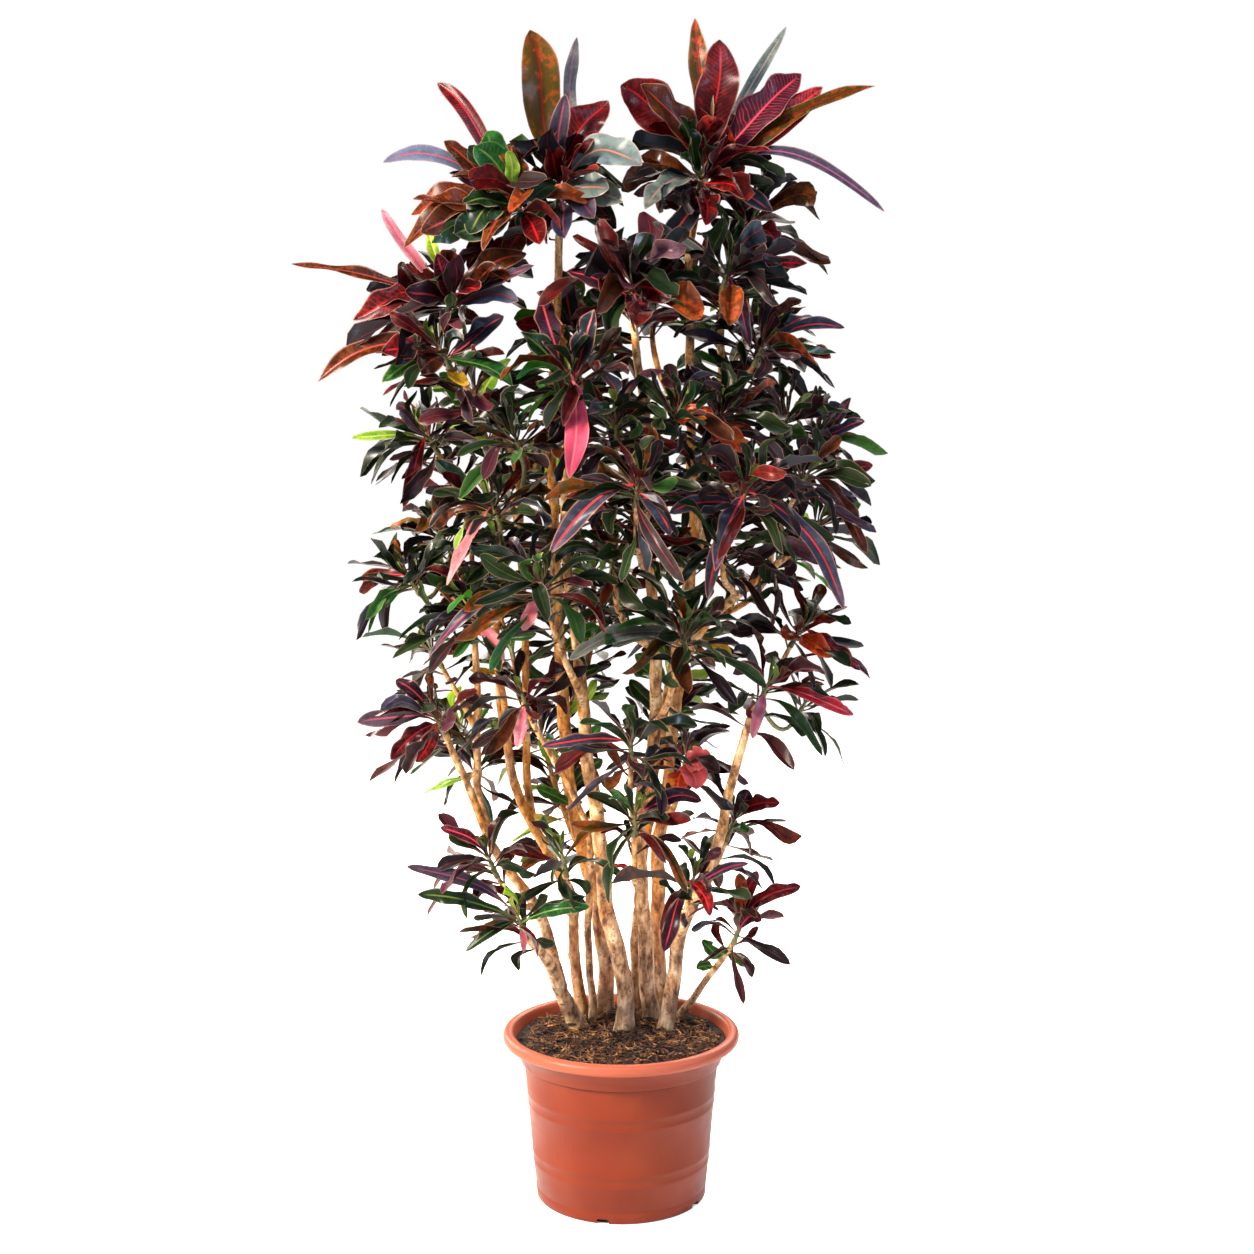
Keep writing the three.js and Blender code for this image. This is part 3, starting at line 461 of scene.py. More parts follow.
# Single leaves lower on the wood: root, tip, width, colouring
extraLeaves = {
    "B5": [(133, 5, 322, 110, -18, 354, 15, "leafGreen"), (127, 16, 308, 102, -2, 312, 14, "leafGreen"),
        (140, 0, 332, 175, -22, 322, 15, "leafGreen"), (146, -20, 345, 120, -50, 338, 12, "leafGreen")],
    "M10": [(22, 36, 437, -14, 8, 450, 6, "scarlet")],
    "L2": [(-222, -66, 1112, -193, -92, 1092, 15, "yellow"),
        (-225, -70, 1124, -296, -118, 1136, 34, "garnet"),
        (-225, -70, 1128, -250, -130, 1100, 30, "bronze"), (-225, -70, 1124, -148, -60, 1182, 30, "slate")],
    "K10": [(100, 150, 735, 146, 60, 730, 18, "yellow"), (52, 92, 600, 2, 60, 640, 20, "leafGreen"),
        (58, 91, 630, 10, 80, 692, 20, "bottle"), (66, 89, 680, 18, 70, 730, 22, "leafGreen"),
        (72, 88, 720, 20, 90, 775, 22, "bottle"), (60, 90, 645, 112, 60, 690, 18, "slate"),
        (78, 87, 755, 130, 60, 790, 20, "leafGreen"), (46, 94, 560, 92, 70, 610, 18, "garnet"),
        (44, 94, 545, 0, 90, 590, 18, "coral")],
    "M11": [(85, 0, 592, 104, -46, 572, 38, "coral"), (85, 0, 584, 72, -50, 552, 26, "ember"),
        (85, 2, 588, 112, -34, 610, 30, "coral")],
    "M4": [(125, -90, 1040, 150, -140, 1010, 34, "ember"), (125, -90, 1048, 100, -145, 1030, 30, "copper")],
    "M3": [(70, -115, 1045, 112, -160, 1058, 30, "ember")],
    "C1": [(15, -60, 1210, -25, -120, 1205, 30, "garnet"), (15, -60, 1214, 60, -118, 1196, 32, "garnet"),
        (15, -60, 1206, 20, -130, 1172, 28, "wine"), (15, -60, 1200, -68, -70, 1240, 32, "plum")],
    "T4": [(170, 35, 1296, 205, -20, 1282, 30, "garnet"), (170, 35, 1300, 150, -30, 1270, 30, "plum")],
    "R9": [(235, 15, 760, 275, -30, 742, 26, "ember"), (235, 15, 764, 215, -40, 770, 24, "copper")],
    "L7": [(-240, -40, 650, -262, -90, 610, 20, "garnet")],
    "L9": [(-184, -60, 786, -150, -112, 742, 18, "pink")],
    "T1": [(-80, 0, 1342, -18, -70, 1338, 36, "silver"), (-80, 0, 1336, -36, -78, 1306, 32, "lavender"),
        (-80, 0, 1344, -116, -72, 1352, 32, "garnet"), (-80, 0, 1350, -88, -62, 1402, 28, "garnet"),
        (-80, 0, 1350, -50, -66, 1392, 28, "garnet"), (-80, 0, 1338, 6, -50, 1318, 36, "sage"),
        (-80, 0, 1330, -132, -66, 1292, 30, "bottle"), (-80, 0, 1330, -72, -80, 1276, 26, "lavender"),
        (-80, 0, 1330, -152, -20, 1252, 32, "bronze"), (-80, 0, 1332, -118, -60, 1262, 26, "plum")],
    "T3": [(105, 0, 1352, 36, -62, 1330, 34, "slate"), (105, 0, 1356, 70, -80, 1372, 26, "bottle"),
        (105, 0, 1350, 160, -74, 1330, 32, "garnet"), (105, 0, 1346, 196, -50, 1318, 30, "slate"),
        (105, 0, 1344, 112, -84, 1296, 28, "garnet"), (105, 0, 1352, 132, -78, 1398, 30, "plum"),
        (105, 0, 1340, 58, -30, 1262, 30, "slate")],
    "T2": [(-130, -40, 1316, -262, -62, 1322, 42, "copper"),
        (-130, -40, 1312, -252, -86, 1284, 38, "bronze"), (-130, -40, 1312, -204, -96, 1280, 44, "bottle"),
        (-130, -40, 1320, -186, -70, 1388, 40, "leafGreen"),
        (-130, -40, 1320, -224, -40, 1400, 32, "bronze"), (-130, -40, 1322, -150, -60, 1398, 26, "olive"),
        (-130, -40, 1316, -196, -92, 1330, 34, "bottle"),
        (-130, -40, 1312, -100, -100, 1262, 28, "garnet")],
    "L1": [(-215, -20, 1192, -316, -50, 1206, 34, "garnet"),
        (-215, -20, 1192, -130, -60, 1204, 30, "steel"), (-215, -20, 1195, -180, -86, 1216, 30, "garnet"),
        (-215, -20, 1190, -266, -86, 1210, 32, "plum"), (-215, -20, 1188, -218, -92, 1160, 28, "slate"),
        (-215, -20, 1198, -228, -76, 1252, 28, "wine"), (-215, -20, 1190, -122, -50, 1262, 32, "bronze"),
        (-215, -20, 1192, -142, 0, 1286, 30, "garnet")],
    "K2": [(-60, 115, 1160, -112, 60, 1216, 30, "slate"), (-60, 115, 1162, -18, 60, 1228, 30, "bottle"),
        (-60, 115, 1150, -142, 90, 1182, 30, "garnet"), (-60, 115, 1155, -76, 60, 1244, 28, "slate")],
    "C2": [(-60, -90, 1090, -124, -100, 1158, 30, "bottle"), (-60, -90, 1095, -36, -110, 1186, 30, "slate"),
        (-60, -90, 1095, -102, -60, 1202, 28, "plum")],
    "K1": [(-195, 110, 1050, -150, 70, 1130, 26, "lime"),
        (-195, 110, 1050, -240, 60, 1110, 26, "leafGreen")],
    "K9": [(-75, 60, 592, -26, 44, 636, 18, "leafGreen"), (-78, 56, 640, -30, 60, 694, 20, "lime"),
        (-80, 53, 680, -32, 40, 724, 20, "bottle"), (-82, 50, 730, -26, 70, 772, 22, "leafGreen"),
        (-84, 46, 770, -130, 60, 800, 20, "bottle")],
    "K12": [(-72, 62, 560, -112, 60, 616, 18, "lime"), (-66, 65, 520, -112, 30, 552, 16, "leafGreen"),
        (-70, 64, 540, -24, 50, 590, 18, "bottle")],
    "K8": [(225, 115, 870, 284, 60, 846, 24, "leafGreen"), (225, 115, 868, 262, 70, 908, 22, "lime")],
    "M8": [(-125, -60, 680, -132, -108, 632, 16, "pink")],
    "M5": [(-96, -150, 832, -120, -176, 790, 16, "pink")],
}

growth = {
    "shootLength": 34, "shootRadius": 3.9, "shootTip": 2.4,  # the green tip that carries a head
    "lean": 420,           # outer heads lean outwards
    "goldenAngle": 2.39996,
    "rootDepth": 175,      # height of the buried ends of the stems
    "twigRadius": 5.5, "twigEnd": 3.4,
    # how far a leaf may pass the middle between two heads, and keeps from the wood: main leaves, others
    "clear": (16, 5), "fillClear": (36, 3),
    "fill": 16, "fillFew": 6,    # leaves that fill a head, in the crown and near the ground
    "lower": (27, 125),    # leaves on the wood under a head of the crown, and how far down
    "lowerTop": (10, 45),  # the same under the topmost heads, which stand on bare wood
    "lowerFew": (5, 40),   # the same under the heads near the ground
    "crownFrom": 740, "bareTo": 770, "backFrom": 90,
    # half width as a share of the length
    "slim": {"green": 0.08, "dark": 0.088, "maroon": 0.094, "bronze": 0.095},
    "slimSpread": 0.04,
    "broadFrom": 1180, "broader": 1.35,    # the topmost heads have broader leaves
    "buds": 4,             # young leaves in the middle of a head
    # turns and shares of its length that a leaf tries until it is clear
    "turns": ((0, 1), (0.5, 1), (-0.5, 1), (0, 0.8), (0.8, 0.8), (-0.8, 0.7), (0, 0.62)),
    "lowerTurns": ((0, 1), (0.7, 1), (-0.7, 1), (1.5, 0.9), (-1.5, 0.9), (2.4, 0.8), (0, 0.7)),
}

heads = {}
for name, (x, y, z, on, start, leaves, size, look) in headRows.items():
    heads[name] = {"at": np.array([x, y, z], float), "on": on, "from": start, "leaves": leaves, "size": size,
                   "look": look, "axis": unit(np.array([x / growth["lean"], y / growth["lean"], 1.0])),
                   "dense": dense.get(name, 1), "deep": deep.get(name, 1), "back": y > growth["backFrom"],
                   "top": z > growth["broadFrom"]}
names = list(heads)
places = np.array([heads[name]["at"] for name in names])


# Where the wood runs

def shootFoot(name):
    return heads[name]["at"] - heads[name]["axis"] * growth["shootLength"] * 0.55


def pointAt(route, height):
    points, radii = route["points"], route["radii"]
    for i in range(1, len(points)):
        low, high = points[i - 1], points[i]
        if height <= high[2]:
            share = max((height - low[2]) / (high[2] - low[2]), 0)
            return low + (high - low) * share, radii[i - 1] + (radii[i] - radii[i - 1]) * share


def woodRoutes():
    routes = {}
    ends = {head["on"]: name for name, head in heads.items() if not head["from"]}

    def addRoute(name, points, first, last, body):
        if name in ends:
            points[-1] = shootFoot(ends[name])
        reach = reachAlong(points)
        routes[name] = {"points": points, "radii": first + (last - first) * reach / reach[-1], "body": body}

    for name, (_, first, last, path) in stems.items():
        root = (*path[0][:2], growth["rootDepth"])
        addRoute(name, [np.array(place, float) for place in (root, *path)], first, last, name)
    for name, (on, height, first, last, path) in arms.items():
        start = pointAt(routes[on], height)[0]
        addRoute(name, [start] + [np.array(place, float) for place in path], first, last, routes[on]["body"])
    for name, head in heads.items():
        if head["from"]:
            start, radius = pointAt(routes[head["on"]], head["from"])
            end = shootFoot(name)
            shares = np.linspace(0, 1, 3 + int(np.linalg.norm(end - start) // 150))
            points = arc(start, end, head["axis"], shares)
            addRoute("twig" + name, points, min(radius * 0.85, growth["twigRadius"]), growth["twigEnd"],
                     routes[head["on"]]["body"])
    return routes


routes = woodRoutes()
spanStart = np.array([p for route in routes.values() for p in route["points"][:-1]])
spanEnd = np.array([p for route in routes.values() for p in route["points"][1:]])
spanRadius = np.array([r for route in routes.values() for r in route["radii"][:-1]])


def nodeHead(name):
    # two heads on one tip are one piece, named after the first
    return heads[name]["on"] if heads[name]["on"] in heads else name


def pastMiddle(name, point):
    own = heads[name]["at"]
    away = places[[nodeHead(other) != nodeHead(name) for other in names]] - own
    return np.max(np.sum((point - own - away / 2) * away, axis=1) / np.linalg.norm(away, axis=1))


def woodClearance(root, reach, sag):
    least = 1e9
    line = spanEnd - spanStart
    for share in (0.4, 0.6, 0.8, 1):
        point = root + reach * share - up * sag * share * share
        along = np.clip(np.sum((point - spanStart) * line, axis=1) / np.sum(line * line, axis=1), 0, 1)
        gaps = np.linalg.norm(spanStart + line * along[:, None] - point, axis=1) - spanRadius
        least = min(least, gaps.min())
    return least


def insideBox(point):
    return np.all(point > cadLow + 3) and np.all(point < cadHigh - 3)


# Where the leaves go. A leaf has a root, a reach to its unbent tip, how far it sags there, the way its blade
# lies, half its width, and a colouring where one is given

def newLeaf(root, reach, sag, across, half, look=None):
    return {"root": root, "reach": reach, "sag": sag, "across": unit(across), "half": half, "look": look}


def clearLeaf(name, root, axis, angle, lift, length, droop, roll, width, turns, past, room):
    # the first try that clears the wood, the other heads and the box
    first, second = sidesOf(axis)
    for twist, shrink in turns:
        out = first * math.cos(angle + twist) + second * math.sin(angle + twist)
        heading = out * math.cos(lift) + axis * math.sin(lift)
        reach = heading * length * shrink * (1 + droop * 0.35)
        sag = droop * length * shrink
        tip = root + reach - up * sag
        if pastMiddle(name, tip) <= past and woodClearance(root, reach, sag) >= room and insideBox(tip):
            across = turned(np.cross(axis, out), heading, roll)
            return [newLeaf(root, reach, sag, across, length * shrink ** 0.5 * width)]
    return []


def spiralLeaves(name, count, seed, main=True):
    # low leaves lie flat and droop, high ones stand up
    head, draw, leaves = heads[name], draws(seed), []
    limits = growth["clear"] if main else growth["fillClear"]
    spread = growth["broader"] if head["top"] else 1
    for k in range(count):
        rise = (k + 0.5) / count
        turn, tilt, grow, broad, bend, roll = take(draw, 6)
        lift = math.radians(-6 + 70 * rise ** 1.1 + 18 * (tilt - 0.5)) + (0 if main else 0.15)
        length = head["size"] * (0.8 + 0.35 * math.sin(math.pi * (0.2 + 0.65 * rise))) * (0.85 + 0.3 * grow)
        if not main:
            length *= 0.93 - 0.25 * (1 - tilt) * rise + (0.14 if head["top"] else 0)
        droop = 0.3 - 0.24 * rise + 0.16 * bend + (0 if main else 0.06)
        root = head["at"] + head["axis"] * growth["shootLength"] * (-0.38 + 0.7 * rise)
        angle = names.index(name) * 1.7 + k * growth["goldenAngle"] + 0.6 * (turn - 0.5)
        angle += 0 if main else 1.1
        width = (growth["slim"][head["look"]] + growth["slimSpread"] * broad) * spread
        leaves += clearLeaf(name, root, head["axis"], angle, lift, length, droop,
                            (0.9 if main else 1.7) * (roll - 0.5), width, growth["turns"], *limits)
    return leaves


def woodUnder(name, down):
    # the place on the wood so far below the shoot's foot, and the way it runs there
    points = routes["twig" + name if heads[name]["from"] else heads[name]["on"]]["points"]
    for low, high in zip(points[-2::-1], points[::-1]):
        length = np.linalg.norm(high - low)
        if down <= length:
            return high - (high - low) / length * down, (high - low) / length
        down -= length
    return None


def isCrown(name):
    # heads of the dense crown, and those at the back that close it
    return heads[name]["at"][2] > growth["crownFrom"] or heads[name]["back"]


def lowerLeaves(name):
    # older leaves on the wood under a head, wide open and drooping
    head, leaves = heads[name], []
    if not head["from"] and head["on"] not in routes:
        return leaves
    crown = isCrown(name)
    count, far = growth["lowerTop" if head["top"] else "lower" if crown else "lowerFew"]
    if crown and not head["top"] and not head["back"]:     # the stems stay bare below the crown
        room = min(max((head["at"][2] - growth["bareTo"]) / far, 0.2), 1)
        count, far = int(count * room), far * room
    count, far = int(count * head["deep"] * head["dense"]), far * head["deep"]
    draw = draws(9001 + 61 * names.index(name))
    for k in range(count):
        down, turn, tilt, grow, broad, bend, roll = take(draw, 7)
        found = woodUnder(name, 6 + far * (k + down) / count)
        if found:
            angle = k * growth["goldenAngle"] + 0.9 * turn + names.index(name)
            length = head["size"] * (0.7 + 0.34 * grow)
            width = growth["slim"][head["look"]] + growth["slimSpread"] * broad
            leaves += clearLeaf(name, *found, angle, math.radians(4 + 56 * tilt), length, 0.1 + 0.34 * bend,
                                1.9 * (roll - 0.5), width, growth["lowerTurns"], *growth["fillClear"])
    return leaves


def frontLeaf(root, tip, sag, half, look):
    # a leaf of the tables, its face to the front and the light
    reach = tip - root + up * sag
    return newLeaf(root, reach, sag, np.cross([0.0, -1.0, 0.6], reach), half, look)


def placedLeaves(name):
    leaves = []
    rows = largeLeaves.get(name, [])
    for i, (x, y, z, arch, width, look) in enumerate(rows):
        root = heads[name]["at"] + heads[name]["axis"] * growth["shootLength"] * (0.3 - 0.6 * i / len(rows))
        # a folded blade looks narrower than the flat one of the table
        half = width * (0.57 if z > growth["broadFrom"] else 0.5)
        leaves.append(frontLeaf(root, np.array([x, y, z], float), 4 * arch, half, look))
    for *ends, width, look in extraLeaves.get(name, []):
        root, tip = np.array(ends[:3], float), np.array(ends[3:], float)
        leaves.append(frontLeaf(root, tip, 0.18 * np.linalg.norm(tip - root), width * 0.55, look))
    return leaves


def budLeaves(name):
    # young leaves, upright round the growing tip
    axis = heads[name]["axis"]
    first, second = sidesOf(axis)
    draw = draws(7001 + 13 * names.index(name))
    top = shootFoot(name) + axis * growth["shootLength"] * 0.92
    leaves = []
    for k in range(growth["buds"]):
        turn, grow, tilt = take(draw, 3)
        angle, lift, length = k * growth["goldenAngle"] + turn, math.radians(52 + 28 * tilt), 22 + 22 * grow
        out = first * math.cos(angle) + second * math.sin(angle)
        reach = (out * math.cos(lift) + axis * math.sin(lift)) * length
        if insideBox(top + reach):
            leaves.append(newLeaf(top, reach, 1.5, np.cross(axis, out), length * 0.13, "bud"))
    return leaves


# Colourings of a leaf: upper side, midrib and margin, underside, light that shines through, blotches;
# how many blotches, how strong the side veins
leafColours = {
    "slate": ("#131c22 #a02c36 #241c1c #4c3a1c #30363c", 0.25, 0.04),
    # slateBlue: a dark slate leaf painted paler and bluer, its pale blotches most of all, as painted sheen
    "slateBlue": ("#2a303c #d02c36 #302830 #4c4450 #566072", 0.3, 0.02),
    "bottle": ("#0a1c0e #5c6c28 #1a2814 #6a9a1c #24482a", 0.35, 0.1),
    "plum": ("#20121a #b0343f #42242a #742c2c #562630", 0.25, 0.1),
    "garnet": ("#300a0b #a81a1e #3e110d #a82816 #9c2014", 0.5, 0.35),
    "scarlet": ("#4c0c10 #e02c26 #541412 #c0301c #c82a1e", 0.6, 0.4),
    "ruby": ("#400b0c #c82426 #541610 #c03018 #b04018", 0.6, 0.4),
    "wine": ("#30141c #d84050 #502830 #a03438 #6c2434", 0.3, 0.5),
    "bronze": ("#2c1607 #8c3020 #40200c #a8561a #84440f", 0.45, 0.2),
    "copper": ("#401d08 #a83018 #50260c #c0661e #c8501c", 0.6, 0.3),
    "olive": ("#3c310a #7c1812 #4c3c0c #b88c20 #e0501c", 0.6, 0.2),
    "leafGreen": ("#14401a #6c8c3c #36602c #8cd834 #3c8428", 0.5, 0.3),
    "lime": ("#6c9a28 #bccc60 #84a844 #e0ff58 #c8d468", 0.5, 0.3),
    "bud": ("#5c7c20 #a0a040 #7c9434 #bcd838 #8c6428", 0.4, 0.1),
    "sage": ("#4c5852 #8c6c66 #525a4c #6c8448 #76847a", 0.5, 0.15),
    # steel: a grey leaf whose pale blue-grey is partly painted sheen
    "steel": ("#4e586c #a8404c #5a4a4c #7c5450 #7c8698", 0.2, 0.03),
    "lavender": ("#3c3644 #94485a #4a2e32 #743c44 #665a6e", 0.4, 0.08),
    "silver": ("#586868 #a8705c #7c7850 #a09448 #28402c", 0.9, 0.12),
    "heather": ("#5a5c5c #985a5e #5c4a46 #886a64 #788074", 0.5, 0.1),
    "crimson": ("#a02030 #f06068 #9c2838 #e04448 #c83c4c", 0.4, 0.1),
    # rose: a pink leaf painted brighter than its own colour, as painted light against the shade of the leaves
    # above it
    "rose": ("#e04c60 #ff7078 #b84858 #ff6474 #e8707c", 0.3, 0.08),
    "coral": ("#b8484a #d85850 #a84440 #ff6048 #e07464", 0.6, 0.1),
    "pink": ("#b06c78 #d04858 #b07480 #f09ca0 #c8a4a4", 0.5, 0.12),
    "yellow": ("#e0b420 #e8cc60 #c8a83c #ffe040 #b05828", 0.3, 0.08),
    "ember": ("#a83414 #e05030 #8c3c14 #ff7020 #f09024", 0.8, 0.25),
}

# How often each colouring comes up in a head of each look
headColours = {
    "dark": {"slate": 14, "slateBlue": 2.5, "bottle": 10, "plum": 1, "garnet": 1.6, "bronze": 0.6,
        "leafGreen": 1.1, "copper": 0.25, "lavender": 0.5},
    "green": {"bottle": 12, "slate": 4, "leafGreen": 2.6, "olive": 1.6, "plum": 0.8, "garnet": 1.8,
        "lime": 0.4, "bronze": 1.2, "sage": 0.4},
    "maroon": {"garnet": 7, "plum": 2, "slate": 7, "slateBlue": 0.8, "wine": 1.2, "bronze": 2.4,
        "scarlet": 0.25, "bottle": 5, "copper": 0.8, "ruby": 0.5, "lavender": 0.7, "pink": 0.25},
    # heads at the back: more lime and leaf green, partly their own colours, partly painted glow of leaves lit
    # from behind
    "light": {"leafGreen": 5, "lime": 3.5, "bottle": 7, "slate": 5, "bronze": 2.5, "garnet": 3, "plum": 1,
        "olive": 1.5, "yellow": 0.4},
    "bronze": {"slate": 11, "slateBlue": 2.5, "bronze": 2, "garnet": 2, "bottle": 8, "copper": 0.8,
        "ember": 0.9, "plum": 0.8, "lavender": 0.6, "coral": 0.2},
}

leafForm = {
    "stalk": 1.15,             # mm, half width of the leaf stalk
    "rib": 1.5, "blade": 0.55, "tip": 0.35,  # mm: thickness, and half width of the tip
    "broadFrom": 12,           # mm, half width of a broad leaf
    "fold": 0.62,              # radians that each half rises from the midrib
    "wave": 0.38,              # height of the waved margin, in half widths
    "twist": 1.0,              # radians to the tip, the most of an ordinary leaf
    "sway": 0.24,              # how far a leaf bends sideways, in lengths
    "roll": 0.9,               # how far the margin of a blade rolls down
    "hook": 2.0, "arch": 0.15,  # how far a tip curls back, in half widths, and a leaf bows, in lengths
    "veinSpacing": 7.0,        # mm between side veins
    "veinSlant": 0.8,
}


def leafBlank(alongCuts, acrossCuts, skin):
    # a flat closed leaf, top and underside meeting at the margin; x runs along it and y across
    clearSelection()
    bpy.ops.mesh.primitive_grid_add(x_subdivisions=alongCuts, y_subdivisions=acrossCuts, size=2)
    blank = bpy.context.object
    editAll(blank)
    raiseEdge(1)
    bpy.ops.object.mode_set(mode="OBJECT")
    points = pointsOf(blank)
    points[np.max(np.abs(points[:, :2]), axis=1) > 0.999, 2] = 0.5
    setPoints(blank, points)
    editAll(blank)
    bpy.ops.mesh.remove_doubles(threshold=0.001)
    leaveEdit()
    skins = [skin if face.normal.z > 0 else 1 for face in blank.data.polygons]
    points, faces = takeShape(blank)
    return {"along": (points[:, 0] + 1) / 2, "across": points[:, 1], "side": points[:, 2] * 2 - 1,
            "faces": faces, "skins": skins}


# Outlines of the leaf kinds: places along the leaf, and the share of the half width there
outlines = {
    "spoon": ([0.12, 0.24, 0.38, 0.53, 0.67, 0.8, 0.9, 0.97, 1.0],
              [0, 0.32, 0.6, 0.84, 1, 1, 0.84, 0.5, 0.1]),
    "strap": ([0.09, 0.2, 0.35, 0.5, 0.65, 0.8, 0.9, 0.96, 1.0],
              [0, 0.5, 0.84, 1, 1, 0.9, 0.7, 0.46, 0.1]),
    "broad": ([0.08, 0.18, 0.32, 0.48, 0.62, 0.76, 0.87, 0.95, 1.0],
              [0, 0.42, 0.8, 1, 1, 0.9, 0.68, 0.38, 0.05]),
}


def shapeLeaf(blank, leaf, draw):
    # lays the blank along the leaf's middle line, then folds, twists and waves it
    placed = leaf["look"] not in (None, "bud")
    broad = placed and leaf["half"] > leafForm["broadFrom"]
    shares = outlines["broad" if broad else "strap" if placed else "spoon"]
    stalk, length = shares[0][0], np.linalg.norm(leaf["reach"])
    swayShare, twistShare, peakShare, phase, waveShare, foldShare, curl, hookShare, archShare = take(draw, 9)
    s = 1 - (1 - blank["along"]) ** 1.3     # closer stations towards the rounded tip
    t = blank["across"]
    outline = np.interp(s + (peakShare - 0.5) * 0.12 * np.sin(math.pi * s), *shares)
    stem = leafForm["stalk"] * smoothStep(-s, -0.5, -0.02) + leafForm["tip"]
    half = np.maximum(leaf["half"] * outline, stem)
    along = rowUnit(leaf["reach"] - np.outer(2 * leaf["sag"] * s, up))
    across = leaf["across"] - along * (along @ leaf["across"])[:, None]
    if placed:
        frontward = np.cross(np.array([[0.0, -1.0, 0.6]]), along)
        clear = np.linalg.norm(frontward, axis=1) > 0.3
        across[clear] = frontward[clear]
    across = rowUnit(across)
    face = np.cross(along, across)
    twist = (twistShare - 0.5) * 2 * leafForm["twist"] * (0.6 if placed else 1)
    if curl > 0.8 and leaf["look"] is None:     # an odd leaf curls a whole turn
        twist = math.copysign(1.8 + 4 * (curl - 0.8), twist)
    spin = (twist * s ** 1.4)[:, None]
    across, face = across * np.cos(spin) + face * np.sin(spin), face * np.cos(spin) - across * np.sin(spin)
    sway = np.sin(s * math.pi) * (swayShare - 0.5) + np.sin(s * 2 * math.pi) * (phase - 0.5) * 0.4
    sway *= leafForm["sway"] * (0.5 if placed else 1)
    arch = np.sin(s * math.pi) * (archShare - 0.4) * leafForm["arch"] * (0.7 if placed else 1.6)
    hook = (0.3 - hookShare) * leafForm["hook"] * leaf["half"] * (0.6 if placed else 0.8)
    curled = smoothStep(s, 0.5, 1) ** 1.5 * hook
    middle = leaf["root"] + np.outer(s, leaf["reach"]) - np.outer(leaf["sag"] * s * s, up)
    middle += across * (sway * length)[:, None] + face * (arch * length + curled)[:, None]
    middle -= along * (0.3 * np.abs(curled))[:, None]
    fold = leafForm["fold"] * (0.5 + 1.1 * foldShare) * (1 - 0.4 * s) * (0.55 if placed else 1.15)
    waves = 1.4 + (1.8 if placed else 1.1) * waveShare
    wave = leafForm["wave"] * (0.6 if broad else 0.35 + 0.75 * waveShare) * smoothStep(s, stalk, stalk + 0.15)
    wave *= 1 - 0.6 * smoothStep(s, 0.8, 1)
    ripple = wave * t * t * np.sin(2 * math.pi * (waves * s + phase + 0.42 * (t > 0)))
    notched = np.sin(2 * math.pi * (waves * s + phase + 0.3 * (t > 0))) * (1 - smoothStep(s, 0.85, 1))
    narrowed = 0.12 * np.abs(t) * smoothStep(np.sin(fold), 0, 1)
    width = half * (1 - narrowed + 0.16 * waveShare * notched * t * t)
    lean = 1 + (swayShare - 0.5) * np.sign(t)      # one half stands steeper than the other
    roll = leafForm["roll"] * (hookShare - 0.25) * (0.8 if placed else 1)
    cupped = np.abs(t) * (1 + roll) - roll * np.abs(t) ** 3
    lift = half * (cupped * np.sin(fold) * lean + ripple)
    roundness = np.sqrt(np.clip(1 - t * t, 0, 1))
    stem = smoothStep(-s, -stalk - 0.12, -stalk + 0.04)
    upper = leafForm["blade"] / 2 * roundness
    ridge = np.exp(-(t * half / 1.6) ** 2) * (1 - 0.7 * s)
    under = upper + (leafForm["rib"] - leafForm["blade"]) * ridge
    upper, under = [side * (1 - stem) + leafForm["stalk"] * roundness * stem for side in (upper, under)]
    height = lift + np.where(blank["side"] > 0, upper, 0) - np.where(blank["side"] < 0, under, 0)
    points = middle + across * (width * t)[:, None] + face * height[:, None]
    # distance from the midrib and from the margin, in mm on a large leaf, and place between two side veins
    finer = 1 if broad else 1.3 if placed else 1.9
    veins = (s * length - np.abs(t) * half * leafForm["veinSlant"]) / leafForm["veinSpacing"]
    pattern = np.stack([np.abs(t) * half * finer, (1 - np.abs(t)) * half * finer, veins], axis=1)
    return points, pattern, np.stack([s, t * 0.5 + 0.5], axis=1)


leafSkinRows = {   # top side, coat, unevenness, relief of the veins
    "waxy leaf upper side": (True, 0.6, 0.16, 0.45),
    "leaf underside": (False, 0.15, 0.1, 0.45),
    "broad leaf upper side": (True, 0.14, 0.02, 0.2),
}


